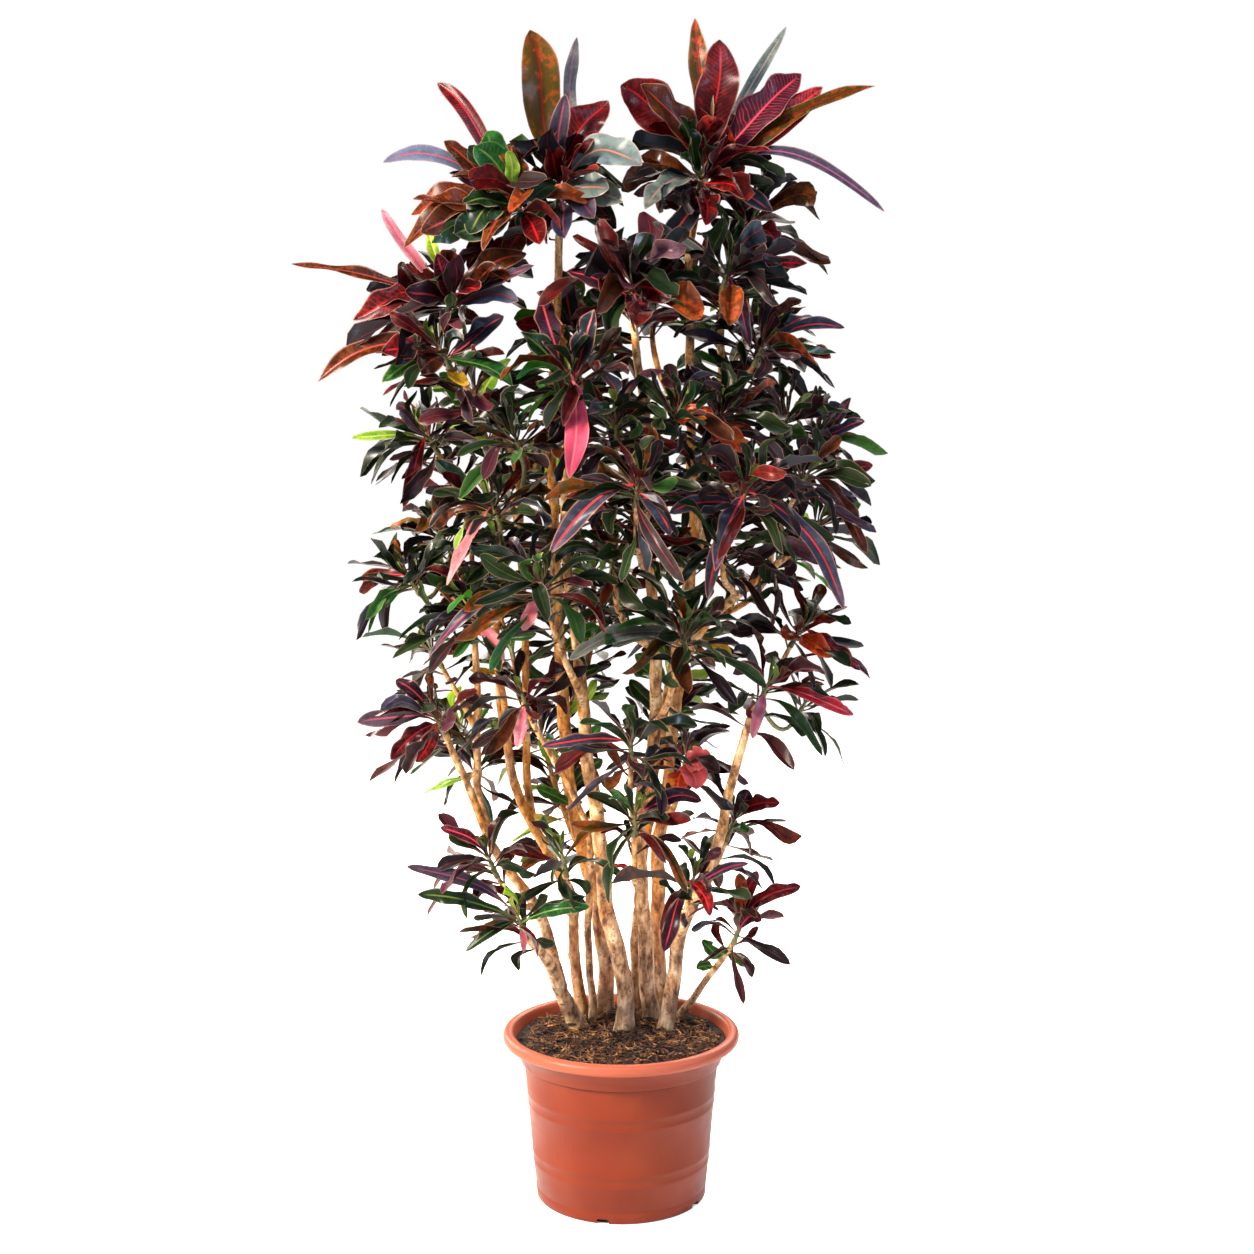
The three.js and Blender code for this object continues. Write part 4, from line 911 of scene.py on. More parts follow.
def leafMaterial(name, upper, coat, uneven, veined):
    # croton leaves: thick and leathery under a waxy skin, so a soft bluish gloss over a deep colour
    material, tree, place = newMaterial(name)
    read = {key: addNode(tree, "Attribute", {"attribute_name": key}).outputs for key in
            ("bladeColour", "ribColour", "backColour", "glowColour", "spotColour", "leafPattern")}
    ribColour, spotColour = read["ribColour"]["Color"], read["spotColour"]["Color"]
    pattern = addNode(tree, "SeparateXYZ", None, {0: read["leafPattern"]["Vector"]})
    fromRib, fromEdge, veinPlace = pattern.outputs
    along = addNode(tree, "SeparateXYZ", None, {0: addNode(tree, "UVMap", {"uv_map": "leafUv"})})
    # side veins: a paler line every few millimetres, unevenly spaced, fading towards the margin
    loose = cloudy(tree, place, 60, 1)
    wave = times(tree, maths(tree, "MULTIPLY_ADD", loose, 1.6, veinPlace), 2 * math.pi)
    crest = maths(tree, "COSINE", wave)
    line = times(tree, span(tree, crest, 0.45, 1), span(tree, fromEdge, 0.6, 6))
    vein = times(tree, line, span(tree, loose, 0.35, 0.6, 0.25))
    rib = times(tree, span(tree, fromRib, 1.7, 0.7), span(tree, along, 0.96, 0.84))
    # blotches 4 to 12 mm across, drawn out along the veins
    mottle = cloudy(tree, place, 95, 3)
    patch = span(tree, maths(tree, "MULTIPLY_ADD", along, 0.16, mottle), 0.6, 0.7)
    patch = times(tree, patch, maths(tree, "MULTIPLY_ADD", crest, 0.15, 0.7))
    spots = times(tree, patch, read["spotColour"]["Alpha"])
    # deeper along the midrib and at the stalk, paler towards the margin
    fine = span(tree, cloudy(tree, place, 420, 2), 0, 1, 0.8, 1.22)
    tone = times(tree, span(tree, along, 0, 1, 0.72, 1.2), fine)
    tone = times(tree, tone, span(tree, fromRib, 1, 16, 0.72, 1.4))
    colour = blend(tree, 1.0, read["bladeColour" if upper else "backColour"]["Color"], tone, "MULTIPLY")
    veins = times(tree, vein, read["ribColour"]["Alpha"])
    colour = blend(tree, veins, colour, ribColour)
    colour = blend(tree, spots, colour, spotColour)
    # the margin is a thin paler line: partly the leaf's own pinkish edge, partly a painted highlight along
    # the edge
    rim = times(tree, span(tree, fromEdge, 2, 0.5), 0.5)
    colour = blend(tree, rim, colour, blend(tree, 0.5, ribColour, linear("#d8ac98")))
    colour = blend(tree, rib, colour, ribColour)
    relief = bump(tree, veined, 0.0006, maths(tree, "MAXIMUM", rib, veins), invert=upper)
    relief = bump(tree, uneven, 0.0008, mottle, relief)
    skin = shaded(tree, colour, 0.45 if upper else 0.55, relief, {
        "IOR": 1.5, "Specular IOR Level": 0.1, "Specular Tint": linear("#e2e6ff" if upper else "#f0e0dc"),
        "Coat Weight": coat, "Coat Roughness": 0.2})
    through = addNode(tree, "BsdfTranslucent", None, {"Color": blend(tree, spots, read["glowColour"]["Color"],
                                                                     spotColour)})
    endWith(tree, addNode(tree, "MixShader", None, {0: 0.2, 1: skin, 2: through}))
    return material


def shootMaterial():
    # the growing tip: smooth green skin turning corky below
    material, tree, place = newMaterial("green shoot skin")
    cork = cloudy(tree, place, 260, 3)
    tone = ramped(tree, cork, (0.3, "#4c5a2a"), (0.55, "#6c6a38"), (0.75, "#8c7448"))
    endWith(tree, shaded(tree, tone, 0.5, bump(tree, 0.4, 0.0008, cork)))
    return material


def shootBlank():
    # a tapering shoot with the swollen scars of fallen leaves; z runs from 0 to 1
    clearSelection()
    bpy.ops.mesh.primitive_circle_add(vertices=8, radius=1, fill_type="NGON")
    blank = bpy.context.object
    editAll(blank)
    before = 1
    for rise, size in ((0.14, 1.12), (0.1, 0.93), (0.14, 1.16), (0.1, 0.95), (0.14, 1.13), (0.1, 0.9),
                       (0.18, 0.8), (0.1, 0.35)):
        raiseEdge(rise)
        bpy.ops.transform.resize(value=(size / before, size / before, 1))
        before = size
    leaveEdit()
    return takeShape(blank)


def tube(points, radii, sides):
    # a bent rod along points, closed at both ends
    points = np.array(points)
    along = rowUnit(np.gradient(points, axis=0))
    guide = np.array([0.0, 1.0, 0.0]) if abs(along[0][0]) > 0.8 else np.array([1.0, 0.0, 0.0])
    across = rowUnit(guide - along * (along @ guide)[:, None])
    third = np.cross(along, across)
    angles = np.arange(sides) * 2 * math.pi / sides
    ring = (across[:, None, :] * np.cos(angles)[None, :, None]
            + third[:, None, :] * np.sin(angles)[None, :, None])
    corners = (points[:, None, :] + ring * np.array(radii)[:, None, None]).reshape(-1, 3)
    faces = [tuple(range(sides))[::-1], tuple((len(points) - 1) * sides + j for j in range(sides))]
    for i in range(0, (len(points) - 1) * sides, sides):
        for j in range(sides):
            k = (j + 1) % sides
            faces.append((i + j, i + k, i + sides + k, i + sides + j))
    return corners, faces


smallBlank = leafBlank(9, 4, 0)
largeBlank = leafBlank(22, 8, 2)
shootPoints, shootFaces = shootBlank()
leafSkins = [leafMaterial(name, *row) for name, row in leafSkinRows.items()] + [shootMaterial()]


def lookFrom(shares, chance):
    chance *= sum(shares.values())
    for look, weight in shares.items():
        chance -= weight
        if chance <= 0:
            break
    return look


def leafTones(look, small, draw):
    # no two leaves have quite the same tone
    texts, spotted, veined = leafColours[look]
    colours = [np.array(linear(text)) for text in texts.split()]
    tone = 0.48 + 0.85 * next(draw) ** 2 if small else 0.75 + 0.5 * next(draw)
    warm = 0.9 + 0.2 * next(draw)
    for colour in colours:
        colour[:3] *= np.array([tone * warm, tone, tone / warm])
    if small:
        # its midrib stands out less; thin young leaves let the light through, leathery ones hardly
        colours[1][:3] = 0.45 * colours[1][:3] + 0.55 * colours[0][:3]
        colours[3][:3] *= 0.22 + 1.9 * next(draw) ** 3
    colours[4][3] = spotted * (0.4 + 0.8 * next(draw))
    colours[1][3] = veined * (0.4 if small else 1)
    return colours


def shootShapes(name, node):
    # the green tip of a head, and the twig to it from a tip that carries two
    foot, axis = shootFoot(name), heads[name]["axis"]
    side, other = sidesOf(axis)
    x, y, z = shootPoints.T
    radius = growth["shootRadius"] + (growth["shootTip"] - growth["shootRadius"]) * z
    sunk = 2.0  # the foot sits a little inside the wood
    points = (foot + np.outer(z * (growth["shootLength"] + sunk) - sunk, axis)
              + np.outer(x * radius, side) + np.outer(y * radius, other))
    shapes = [(points, shootFaces)]
    if name != node:
        line = arc(shootFoot(node) + heads[node]["axis"] * 6, foot + axis * 3, axis, np.linspace(0, 1, 9))
        shapes.append(tube(line, [3.0 + 0.25 * (i % 2) for i in range(9)], 8))
    return shapes


def makeTuft(node):
    # all the leaves and shoots of one tip, in one mesh
    shapes, skins, colours, patterns, uvs, count = [], [], [], [], [], 0

    def add(shape, skin, tones, pattern, uv):
        shapes.append(shape)
        skins.extend(skin)
        colours.append(np.repeat(np.array(tones)[:, None, :], len(shape[0]), axis=1))
        patterns.append(pattern)
        uvs.append(uv)

    for name in [name for name in names if nodeHead(name) == node]:
        index, head = names.index(name), heads[name]
        draw = draws(30011 + 197 * index)
        fill = growth["fill"] + head["leaves"] if isCrown(name) else growth["fillFew"] + head["leaves"] // 2
        leaves = (placedLeaves(name) + spiralLeaves(name, head["leaves"], 1009 + 77 * index)
                  + spiralLeaves(name, int(fill * head["dense"]), 5003 + 91 * index, False)
                  + lowerLeaves(name) + budLeaves(name))
        for leaf in leaves:
            look = lookFrom(headColours["light" if head["back"] else head["look"]], next(draw))
            look = leaf["look"] or look
            small = leaf["look"] in (None, "bud")
            blank = smallBlank if small else largeBlank
            points, pattern, uv = shapeLeaf(blank, leaf, draw)
            add((points, blank["faces"]), blank["skins"], leafTones(look, small, draw), pattern, uv)
        count += len(leaves)
        for shape in shootShapes(name, node):
            plain = [linear(text) for text in leafColours["bud"][0].split()]
            add(shape, [3] * len(shape[1]), plain, np.full(shape[0].shape, 5.0), np.zeros((len(shape[0]), 2)))
    tuft = newPiece("leaves_" + node, shapes)
    mesh = tuft.data
    for skin in leafSkins:
        mesh.materials.append(skin)
    mesh.polygons.foreach_set("material_index", skins)
    for key, rows in zip(("bladeColour", "ribColour", "backColour", "glowColour", "spotColour"),
                         np.concatenate(colours, axis=1)):
        mesh.attributes.new(key, "FLOAT_COLOR", "POINT").data.foreach_set("color", np.ravel(rows))
    layer = mesh.attributes.new("leafPattern", "FLOAT_VECTOR", "POINT")
    layer.data.foreach_set("vector", np.ravel(np.concatenate(patterns)))
    corners = np.empty(len(mesh.loops), dtype=np.int32)
    mesh.loops.foreach_get("vertex_index", corners)
    mesh.uv_layers.new(name="leafUv").data.foreach_set("uv", np.ravel(np.concatenate(uvs)[corners]))
    mesh.update()
    smoothShade(tuft, 62)
    finishPiece(tuft, ["tuft_" + node])
    return count


leafCount = sum(makeTuft(node) for node in dict.fromkeys(nodeHead(name) for name in names))
print("leaves:", leafCount)

wood = {
    "voxel": 0.0021,       # m, how finely joined limbs are fused
    "step": 5.0,           # mm between the points of a limb
    "bend": 1.6,           # mm, how far limbs wander from a smooth line
    "ringSpacing": 13.0,   # mm between leaf scars
    "ring": 0.26,          # mm that a scar ring stands proud
    "lump": 0.9,           # mm of slow swelling
    "soil": 212,           # mm, where a stem starts to swell towards the soil
    "flare": 0.45, "collar": 0.3,     # share that a stem swells at the soil, and a limb where it starts
    "knots": 95, "stubs": 30, "per": 9000,     # knots and stubs in so many mm of wood
}


def noiseOf(points, scale, shift):
    return np.array([noise.noise(Vector(point / scale) + Vector(shift)) for point in points])


def smoothLine(points, radii, seed):
    # a soft curve through the points, wandering slightly, with the radius at each step
    path, width = [], []
    for i in range(len(points) - 1):
        here, there = points[i], points[i + 1]
        before = points[i - 1] if i else here * 2 - there
        after = points[i + 2] if i + 2 < len(points) else there * 2 - here
        steps = max(int(np.linalg.norm(there - here) / wood["step"]), 2)
        for t in np.arange(steps) / steps:
            path.append((2 * here + (there - before) * t + (2 * before - 5 * here + 4 * there - after) * t * t
                         + (3 * here - before - 3 * there + after) * t ** 3) / 2)
            width.append(radii[i] + (radii[i + 1] - radii[i]) * t)
    path = np.array(path + [points[-1]])
    reach = reachAlong(path)
    ends = np.minimum(1, np.minimum(reach, reach[-1] - reach) / 40)
    for axis in (0, 1):
        sway = [noise.noise(Vector((at / 55, seed * 3.1 + axis * 7.7, 0.5))) for at in reach]
        path[:, axis] += np.array(sway) * wood["bend"] * 2 * ends
    return path, np.array(width + [radii[-1]]), reach


def limbCurve(path, width):
    # a path curve given the limb's points and thickness, turned into a closed mesh
    clearSelection()
    bpy.ops.curve.primitive_nurbs_path_add()
    curve = bpy.context.object.data
    curve.splines.clear()
    line = curve.splines.new("POLY")
    line.points.add(len(path) - 1)
    line.points.foreach_set("co", np.ravel(np.column_stack([path / 1000, np.ones(len(path))])))
    line.points.foreach_set("radius", width / 1000)
    curve.dimensions = "3D"
    curve.bevel_depth = 1.0
    curve.bevel_resolution = 3
    curve.use_fill_caps = True
    pick(bpy.context.object)
    bpy.ops.object.convert(target="MESH")
    return bpy.context.object


def barkMaterial(name, peel):
    # woody stem: dry tan skin with pale cork rings and dark scars, peeling to orange under-bark in patches
    material, tree, place = newMaterial(name)
    scars = addNode(tree, "Attribute", {"attribute_name": "barkScars"}).outputs["Vector"]
    rings, knots, damp = addNode(tree, "SeparateXYZ", None, {0: scars}).outputs
    # a skin of fine cracked cork, a little drawn out round the stem
    flat = addNode(tree, "Mapping", None, {"Vector": place, "Scale": (1, 1, 1.5)})
    tall = addNode(tree, "Mapping", None, {"Vector": place, "Scale": (1, 1, 0.4)})
    cork = cloudy(tree, tall, 105, 6, 0.66)
    broad = cloudy(tree, place, 20, 3)
    tone = ramped(tree, cork, (0.36, "#5c381c"), (0.44, "#a87440"), (0.53, "#d8a368"), (0.65, "#f8dcb0"))
    under = ramped(tree, cork, (0.36, "#7c3c10"), (0.46, "#c07420"), (0.64, "#f0b050"))
    peeled = span(tree, broad, 0.45, 0.5) if peel else span(tree, broad, 0.58, 0.62)
    colour = blend(tree, times(tree, peeled, 0.9 if peel else 0.75), tone, under)
    # clouds of brown and grey, 3 to 6 cm across
    brown = span(tree, cloudy(tree, place, 34, 2), 0.54, 0.66, 0, 0.5)
    colour = tinted(tree, colour, brown, "#6c4628")
    colour = tinted(tree, colour, times(tree, rings, 0.2), "#8a623a")
    # lenticels: dark corky dots 1 to 2 mm across, one in each 7 mm
    cells = addNode(tree, "TexVoronoi", None, {"Vector": flat, "Scale": 140.0})
    chosen = addNode(tree, "SeparateColor", None, {0: cells.outputs["Color"]})
    dots = times(tree, span(tree, cells, 0.3, 0.16), maths(tree, "GREATER_THAN", chosen, 0.45))
    colour = tinted(tree, colour, times(tree, dots, 0.75), "#5a3a20")
    colour = tinted(tree, colour, knots, "#3c2416")
    # greyer and darker towards the soil, green where it is damp
    height = addNode(tree, "SeparateXYZ", None, {0: place}).outputs[2]
    colour = addNode(tree, "HueSaturation", None, {"Saturation": 0.72, "Value": 0.85, "Color": colour,
                                                   "Fac": span(tree, height, 0.46, 0.24, 0, 0.75)})
    colour = tinted(tree, colour, times(tree, damp, broad), "#4c4c24")
    relief = bump(tree, 0.8, 0.002, cork)
    endWith(tree, shaded(tree, colour, 0.66, bump(tree, 0.4, 0.0005, cloudy(tree, flat, 380, 3), relief)))
    return material


barks = {"bark": barkMaterial("dry tan stem bark", False),
         "peel": barkMaterial("peeling orange stem bark", True)}


def addStubs(trunk, limbs, draw):
    # stubs of twigs that broke off
    ends = []
    for path, width, reach in trunk:
        for _ in range(int(wood["stubs"] * reach[-1] / wood["per"] + next(draw))):
            at = int(len(path) * (0.15 + 0.75 * next(draw)))
            turn, length = next(draw) * 2 * math.pi, 5 + 11 * next(draw)
            if path[at][2] < 235:
                continue
            end = path[at] + unit(np.array([math.cos(turn), math.sin(turn), 0.75])) * (width[at] + length)
            size = 2.1 + 1.4 * next(draw)
            limbs.append(limbCurve(np.linspace(path[at], end, 5), size * np.array([1.5, 1.35, 1, 0.95, 0.8])))
            ends.append(end)
    return ends


def makeStem(name):
    seed, draw = ord(name) * 1.7, draws(911 + 31 * ord(name))
    own = [key for key, route in routes.items() if route["body"] == name]
    tracks = []
    for i, key in enumerate(own):
        path, width, reach = smoothLine(routes[key]["points"], routes[key]["radii"], seed + i)
        if key == name:
            width = width * (1 + wood["flare"] * np.exp(-np.clip(path[:, 2] - wood["soil"], 0, 400) / 16))
        else:
            width = width * (1 + wood["collar"] * np.exp(-reach / 14))
        tracks.append((path, width, reach))
    limbs = [limbCurve(path, width) for path, width, _ in tracks]
    trunk = [track for track, key in zip(tracks, own) if not key.startswith("twig")]
    stubs = addStubs(trunk, limbs, draw)
    pick(*limbs)
    bpy.ops.object.join()
    stem = bpy.context.object
    stem.name = stem.data.name = "wood_" + name
    applyModifier(stem, "fuse", "REMESH", {"mode": "VOXEL", "voxel_size": wood["voxel"]})
    points = pointsOf(stem) * 1000
    # each point of the surface takes its place along the nearest limb
    paths = np.concatenate([path for path, _, _ in tracks])
    steps = np.concatenate([np.vstack([path[1:], path[-1:]]) - np.vstack([path[:1], path[:-1]])
                            for path, _, _ in tracks])
    reaches = np.concatenate([reach for _, _, reach in tracks])
    tree = kdtree.KDTree(len(paths))
    for i, point in enumerate(paths):
        tree.insert(point, i)
    tree.balance()
    near = np.array([tree.find(point)[1] for point in points])
    limb = np.repeat(np.arange(len(tracks)), [len(path) for path, _, _ in tracks])[near]
    along = rowUnit(steps[near])
    offset = points - paths[near]
    shift = np.sum(offset * along, axis=1)
    radial = offset - along * shift[:, None]
    size = np.linalg.norm(radial, axis=1)
    radial /= np.maximum(size, 0.01)[:, None]
    phase = ((reaches[near] + shift) / wood["ringSpacing"] + limb * 0.37
             + noiseOf(points, 30, (seed, 0, 0)) * 0.55)
    every = np.array([noise.cell(Vector((math.floor(p), seed, k * 2.0))) for p, k in zip(phase, limb)])
    ring = np.exp(-((phase % 1 - 0.5) / 0.1) ** 2) * (0.45 + 0.55 * np.abs(every))
    lump = noiseOf(points, 17, (0, seed, 0)) * wood["lump"]
    swell = ring * wood["ring"] + lump * np.clip(size / 9, 0.35, 1)
    knotMark = np.zeros(len(points))
    for _ in range(int(wood["knots"] * sum(reach[-1] for _, _, reach in trunk) / wood["per"]) + 2):
        path, width, _ = trunk[int(next(draw) * len(trunk))]
        at = int(len(path) * (0.06 + 0.88 * next(draw)))
        turn = next(draw) * 2 * math.pi
        spot = path[at] + np.array([math.cos(turn), math.sin(turn), 0]) * width[at]
        away = np.linalg.norm((points - spot) * np.array([1, 1, 1.25]), axis=1) / (2.8 + 3.4 * next(draw))
        swell += 1.7 * np.exp(-away ** 2) - 1.5 * np.exp(-(away / 0.5) ** 2)
        knotMark = np.maximum(knotMark, 0.92 * np.exp(-(away / 0.6) ** 4))
    for end in stubs:
        away = np.linalg.norm(points - end, axis=1) / 3.2
        knotMark = np.maximum(knotMark, 0.75 * np.exp(-away ** 4))
    points += radial * swell[:, None]
    setPoints(stem, points / 1000)
    mesh = stem.data
    damp = np.clip((258 - points[:, 2]) / 40, 0, 1)
    layer = mesh.attributes.new("barkScars", "FLOAT_VECTOR", "POINT")
    layer.data.foreach_set("vector", np.ravel(np.column_stack([ring, knotMark, damp])))
    mesh.materials.clear()
    mesh.materials.append(barks[stems[name][0]])
    mesh.polygons.foreach_set("material_index", [0] * len(mesh.polygons))
    pick(stem)
    bpy.ops.object.shade_smooth()
    finishPiece(stem, ["stem_" + name])
    return len(mesh.polygons)


for name in stems:
    print("stem", name, "faces", makeStem(name))


pot = {
    "sides": 144,
    "notches": 5, "firstNotch": -12,     # degrees from the front
    "notchWidth": 16, "notchHeight": 6.5, "notchDepth": 60, "notchReach": 118,  # mm, the last from the axis
}
# outside from the foot to the rim's top and down the inside: radius and height in mm
potProfile = [(112.0, 0.0), (114.2, 0.4), (115.0, 1.6), (115.9, 13.6), (115.6, 14.4), (115.6, 15.4),
    (116.1, 16.2), (119.2, 48.0), (119.8, 49.0), (120.0, 52.4), (119.6, 53.4), (120.6, 63.0), (121.2, 64.0),
    (121.4, 67.6), (121.0, 68.6), (126.0, 128.0), (126.7, 129.0), (126.9, 132.0), (126.5, 133.0),
    (127.3, 142.8), (128.0, 143.8), (128.2, 147.6), (127.8, 148.8), (130.9, 179.0), (130.7, 185.4),
    (131.2, 186.8), (134.9, 187.1), (135.8, 187.8), (136.3, 189.2), (137.8, 194.8), (140.8, 200.6),
    (144.4, 206.8), (147.4, 211.4), (148.4, 212.6), (149.6, 213.0), (152.2, 212.8), (155.4, 213.4),
    (157.8, 215.0), (159.4, 217.4), (160.0, 220.4), (159.5, 223.4), (158.0, 226.2), (155.6, 228.2),
    (152.4, 229.0), (149.6, 228.7), (147.2, 227.8), (145.6, 226.2), (144.2, 222.0), (141.4, 210.0),
    (138.0, 201.0), (133.4, 189.5), (128.4, 183.0), (112.4, 5.2), (111.2, 4.0)]

soilForm = {
    "sides": 180,
    "top": 217, "dome": 3.5,       # mm, the middle, and how much lower the edge is
    "level": 213.5,                # mm, the flat surface before it is made uneven
    "edge": 141.2,
    "heap": 3.2, "heapReach": 9,   # mm, round each stem
    "clods": 4.2, "crumbs": 2.0,   # mm, height of the uneven surface
    "strands": 1700, "chips": 520, "bits": 760, "perlite": 16, "moss": 260,
}
soilProfile = [(111.6, 4.5), (127.6, 182.6), (132.6, 189.5), (137.2, 201.0), (140.6, 210.0), (141.4, 213.5)]


def turnedBody(name, profile, sides):
    # a circle raised ring by ring, as on a lathe; both ends are closed by flat faces
    clearSelection()
    radius, height = profile[0]
    bpy.ops.mesh.primitive_circle_add(vertices=sides, radius=radius / 1000, fill_type="NGON",
                                      location=(0, 0, height / 1000))
    body = bpy.context.object
    body.name = body.data.name = name
    pick(body)
    bpy.ops.object.transform_apply(location=True)
    editAll(body)
    for (r0, z0), (r1, z1) in zip(profile, profile[1:]):
        raiseEdge((z1 - z0) / 1000)
        bpy.ops.transform.resize(value=(r1 / r0, r1 / r0, 1), center_override=(0, 0, z1 / 1000))
    leaveEdit()
    return body


def potMaterial():
    # moulded polypropylene nursery pot: terracotta colour, satin, faint flow marks, dust, a painted highlight
    # on the rim and painted shade under the collar
    material, tree, place = newMaterial("satin terracotta polypropylene")
    colour = ramped(tree, cloudy(tree, place, 9, 3), (0.3, "#6c2612"), (0.5, "#742b15"), (0.7, "#7c321a"))
    # dust specks about 1 mm across, sparse
    dust = addNode(tree, "TexVoronoi", None, {"Vector": place, "Scale": 60.0})
    chosen = addNode(tree, "SeparateColor", None, {0: dust.outputs["Color"]})
    specks = times(tree, span(tree, dust, 0.05, 0.03), maths(tree, "GREATER_THAN", chosen, 0.86))
    colour = tinted(tree, colour, times(tree, specks, 0.5), "#7a3624")
    # the rim's top is painted paler as a highlight, and a thin dark line of painted shade runs under the
    # collar, where the collar shades the wall
    height = addNode(tree, "SeparateXYZ", None, {0: place}).outputs[2]
    colour = tinted(tree, colour, span(tree, height, 0.211, 0.216, 0, 0.4), "#d0745a")
    collarShade = maths(tree, "COMPARE", height, 0.1858, 0.0011)
    colour = tinted(tree, colour, times(tree, collarShade, 0.55), "#4c1a0c")
    rough = span(tree, cloudy(tree, place, 40, 5), 0.35, 0.7, 0.3, 0.44)
    relief = bump(tree, 0.15, 0.0003, cloudy(tree, place, 900, 2))
    endWith(tree, shaded(tree, colour, rough, relief, {"IOR": 1.49, "Specular IOR Level": 0.17}))
    return material


def makePot():
    body = turnedBody("pot_shell", potProfile, pot["sides"])
    for i in range(pot["notches"]):
        angle = math.radians(pot["firstNotch"] + 360 / pot["notches"] * i)
        reach = (pot["notchReach"] - pot["notchDepth"] / 2) / 1000
        clearSelection()
        bpy.ops.mesh.primitive_cube_add(
            size=1, location=(math.sin(angle) * reach, -math.cos(angle) * reach, 0), rotation=(0, 0, angle),
            scale=(pot["notchWidth"] / 1000, pot["notchDepth"] / 1000, pot["notchHeight"] / 500))
        cutter = bpy.context.object
        applyModifier(cutter, "roundTop", "BEVEL", {"width": 0.0025, "segments": 3})
        applyModifier(body, "notch", "BOOLEAN", {"operation": "DIFFERENCE", "object": cutter,
                                                 "solver": "EXACT"})
        bpy.data.objects.remove(cutter)
    body.data.materials.append(potMaterial())
    smoothShade(body, 38)
    finishPiece(body, ["pot"])


makePot()
print("pot ready")


# Soil

stemFeet = [(path[0][0], path[0][1], first) for _, first, _, path in stems.values()]


def soilHeight(x, y):
    # mm: a low dome, heaped a little round each stem, with clods and crumbs
    radius = math.hypot(x, y)
    base = soilForm["top"] - soilForm["dome"] * (radius / 138) ** 2
    for fx, fy, size in stemFeet:
        away = math.hypot(x - fx, y - fy) - size
        base += soilForm["heap"] * math.exp(-(away / soilForm["heapReach"]) ** 2)
    clod = noise.noise(Vector((x / 14, y / 14, 3.3))) * soilForm["clods"]
    crumb = noise.noise(Vector((x / 4.5, y / 4.5, 8.1))) * soilForm["crumbs"]
    return base + (clod + crumb) * min(1, (soilForm["edge"] - radius) / 6)


def soilMaterial(name, scale, *stops):
    # peat and coir potting mix: matt, dark when damp, paler fibres
    material, tree, place = newMaterial(name)
    speckle = cloudy(tree, place, scale, 4, 0.7)
    endWith(tree, shaded(tree, ramped(tree, speckle, *stops), 0.9, bump(tree, 0.8, 0.0015, speckle)))
    return material


def crumbBlank(seed, flat):
    # a broken crumb: a small ball knocked out of shape
    clearSelection()
    bpy.ops.mesh.primitive_ico_sphere_add(subdivisions=1, radius=1)
    points, faces = takeShape(bpy.context.object)
    points *= np.array(take(draws(seed), len(points)))[:, None] * 0.7 + 0.65
    return points * np.array([1, 1, flat]), faces


def chipBlank():
    # a splinter of bark: a slab with broken ends
    clearSelection()
    bpy.ops.mesh.primitive_cube_add(size=2)
    blank = bpy.context.object
    editAll(blank)
    bpy.ops.mesh.subdivide(number_cuts=1)
    bpy.ops.object.mode_set(mode="OBJECT")
    points, faces = takeShape(blank)
    draw = draws(77)
    points[:, 0] += 0.35 * (np.array(take(draw, len(points))) - 0.5)
    points[:, 1] *= 0.6 + 0.5 * np.array(take(draw, len(points)))
    points[:, 2] += 0.5 * (np.array(take(draw, len(points))) - 0.5)
    return points * np.array([1, 0.32, 0.16]), faces


def fibreShape(share):
    # a curled strand of coir, one unit long, different at each call
    bend, lift, wave, thick = take(draws(int(share * 99991) + 5), 4)
    t = np.linspace(-0.5, 0.5, 7)
    line = np.column_stack([t, (bend - 0.5) * 1.6 * t * t + 0.1 * wave * np.sin(t * 9),
                            0.05 + lift * 0.22 * (0.25 - t * t) * 4])
    return tube(line, [0.014 + 0.022 * thick] * 7, 4)


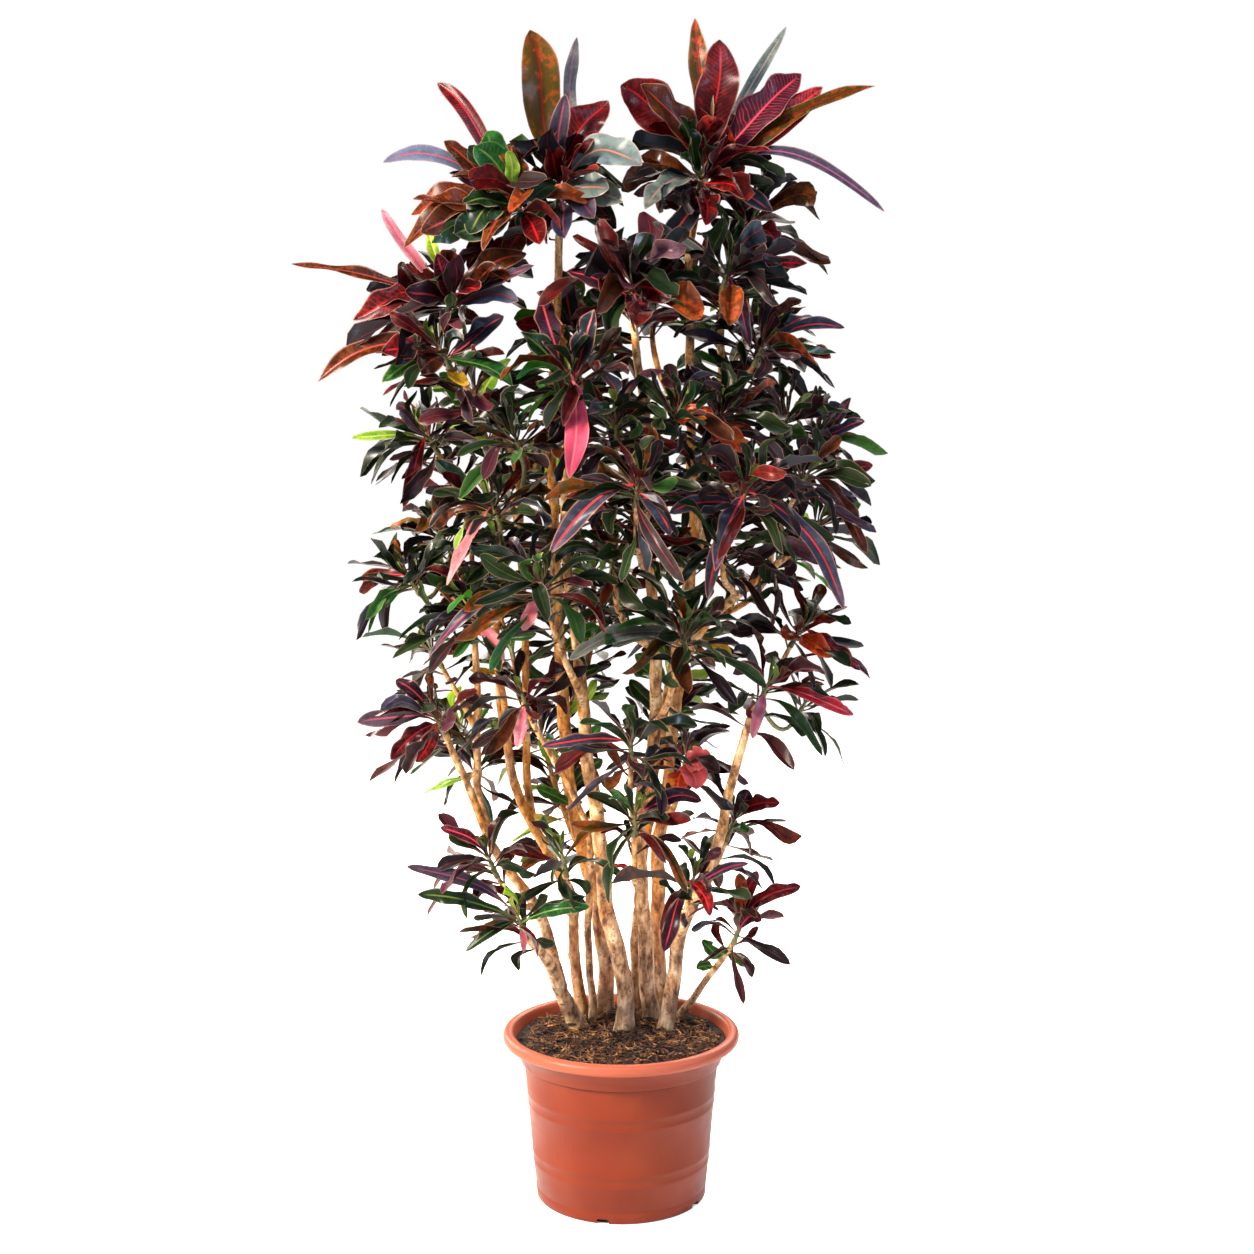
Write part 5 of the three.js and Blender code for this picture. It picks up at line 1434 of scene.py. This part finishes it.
def scatterOnSoil(name, material, *kinds):
    # copies of small shapes, half sunk, clear of the stems; a kind: how many, shape, least and most size
    # in mm, seed, whether it keeps to the stems' feet
    shapes = []
    for count, blank, low, high, seed, near in kinds:
        draw, placed = draws(seed), 0
        while placed < count:
            points, faces = blank(next(draw)) if callable(blank) else blank
            fx, fy, foot = stemFeet[int(next(draw) * len(stemFeet))] if near else (0, 0, 0)
            turn = next(draw) * 2 * math.pi
            away = foot * 1.2 + 22 * next(draw) ** 2 if near else 139 * math.sqrt(next(draw))
            x, y = fx + math.cos(turn) * away, fy + math.sin(turn) * away
            size = low + (high - low) * next(draw) ** 1.6
            yaw, pitch, roll, lift = take(draw, 4)
            inWood = any(math.hypot(x - px, y - py) < thick + 1 for px, py, thick in stemFeet)
            if inWood or math.hypot(x, y) > 138 - size * 0.5:
                continue
            placed += 1
            points = turned(points * size, np.array([1.0, 0, 0]), (roll - 0.5) * 1.2)
            points = turned(points, np.array([0, 1.0, 0]), (pitch - 0.5) * 0.7)
            points = turned(points, up, yaw * 2 * math.pi)
            shapes.append((points + np.array([x, y, soilHeight(x, y) + size * 0.12 * (lift + 0.2)]), faces))
    piece = newPiece(name, shapes)
    piece.data.materials.append(material)
    smoothShade(piece, 50)
    finishPiece(piece, [])


def makeSoil():
    rings = [(radius, soilForm["level"]) for radius in (139.2, 137.2, *np.arange(137.2, 3, -2.4))]
    bed = turnedBody("soil_bed", soilProfile + rings, soilForm["sides"])
    points = pointsOf(bed) * 1000
    for i in np.flatnonzero(points[:, 2] > soilForm["level"] - 0.1):
        points[i, 2] = soilHeight(*points[i, :2])
    setPoints(bed, points / 1000)
    peat = soilMaterial("damp peat and coir mix", 150, (0.44, "#030201"), (0.54, "#140b06"),
                        (0.64, "#32200f"), (0.76, "#64401f"))
    bed.data.materials.append(peat)
    pick(bed)
    bpy.ops.object.shade_smooth()
    finishPiece(bed, ["soil"])
    coir = soilMaterial("dry coir strands", 60, (0.43, "#180b05"), (0.53, "#583218"), (0.67, "#b4824e"))
    chips = soilMaterial("composted bark chips", 80, (0.4, "#0c0603"), (0.52, "#2a190c"), (0.66, "#6c4830"))
    stone = soilMaterial("white perlite", 400, (0.3, "#cfc8bc"), (0.7, "#f0ece4"))
    moss = soilMaterial("soil moss", 300, (0.3, "#2c3414"), (0.5, "#4c5a20"), (0.7, "#7c8438"))
    scatterOnSoil("soil_strands", coir, (soilForm["strands"], fibreShape, 12, 34, 601, False))
    scatterOnSoil("soil_chips", chips, (soilForm["chips"], chipBlank(), 2.5, 9, 603, False),
                  (soilForm["bits"], crumbBlank(5, 0.75), 1.2, 4.2, 605, False))
    scatterOnSoil("soil_perlite", stone, (soilForm["perlite"], crumbBlank(9, 0.9), 1.0, 1.7, 607, False))
    scatterOnSoil("soil_moss", moss, (soilForm["moss"], crumbBlank(11, 0.8), 0.8, 2.2, 609, True))


makeSoil()
print("soil ready")
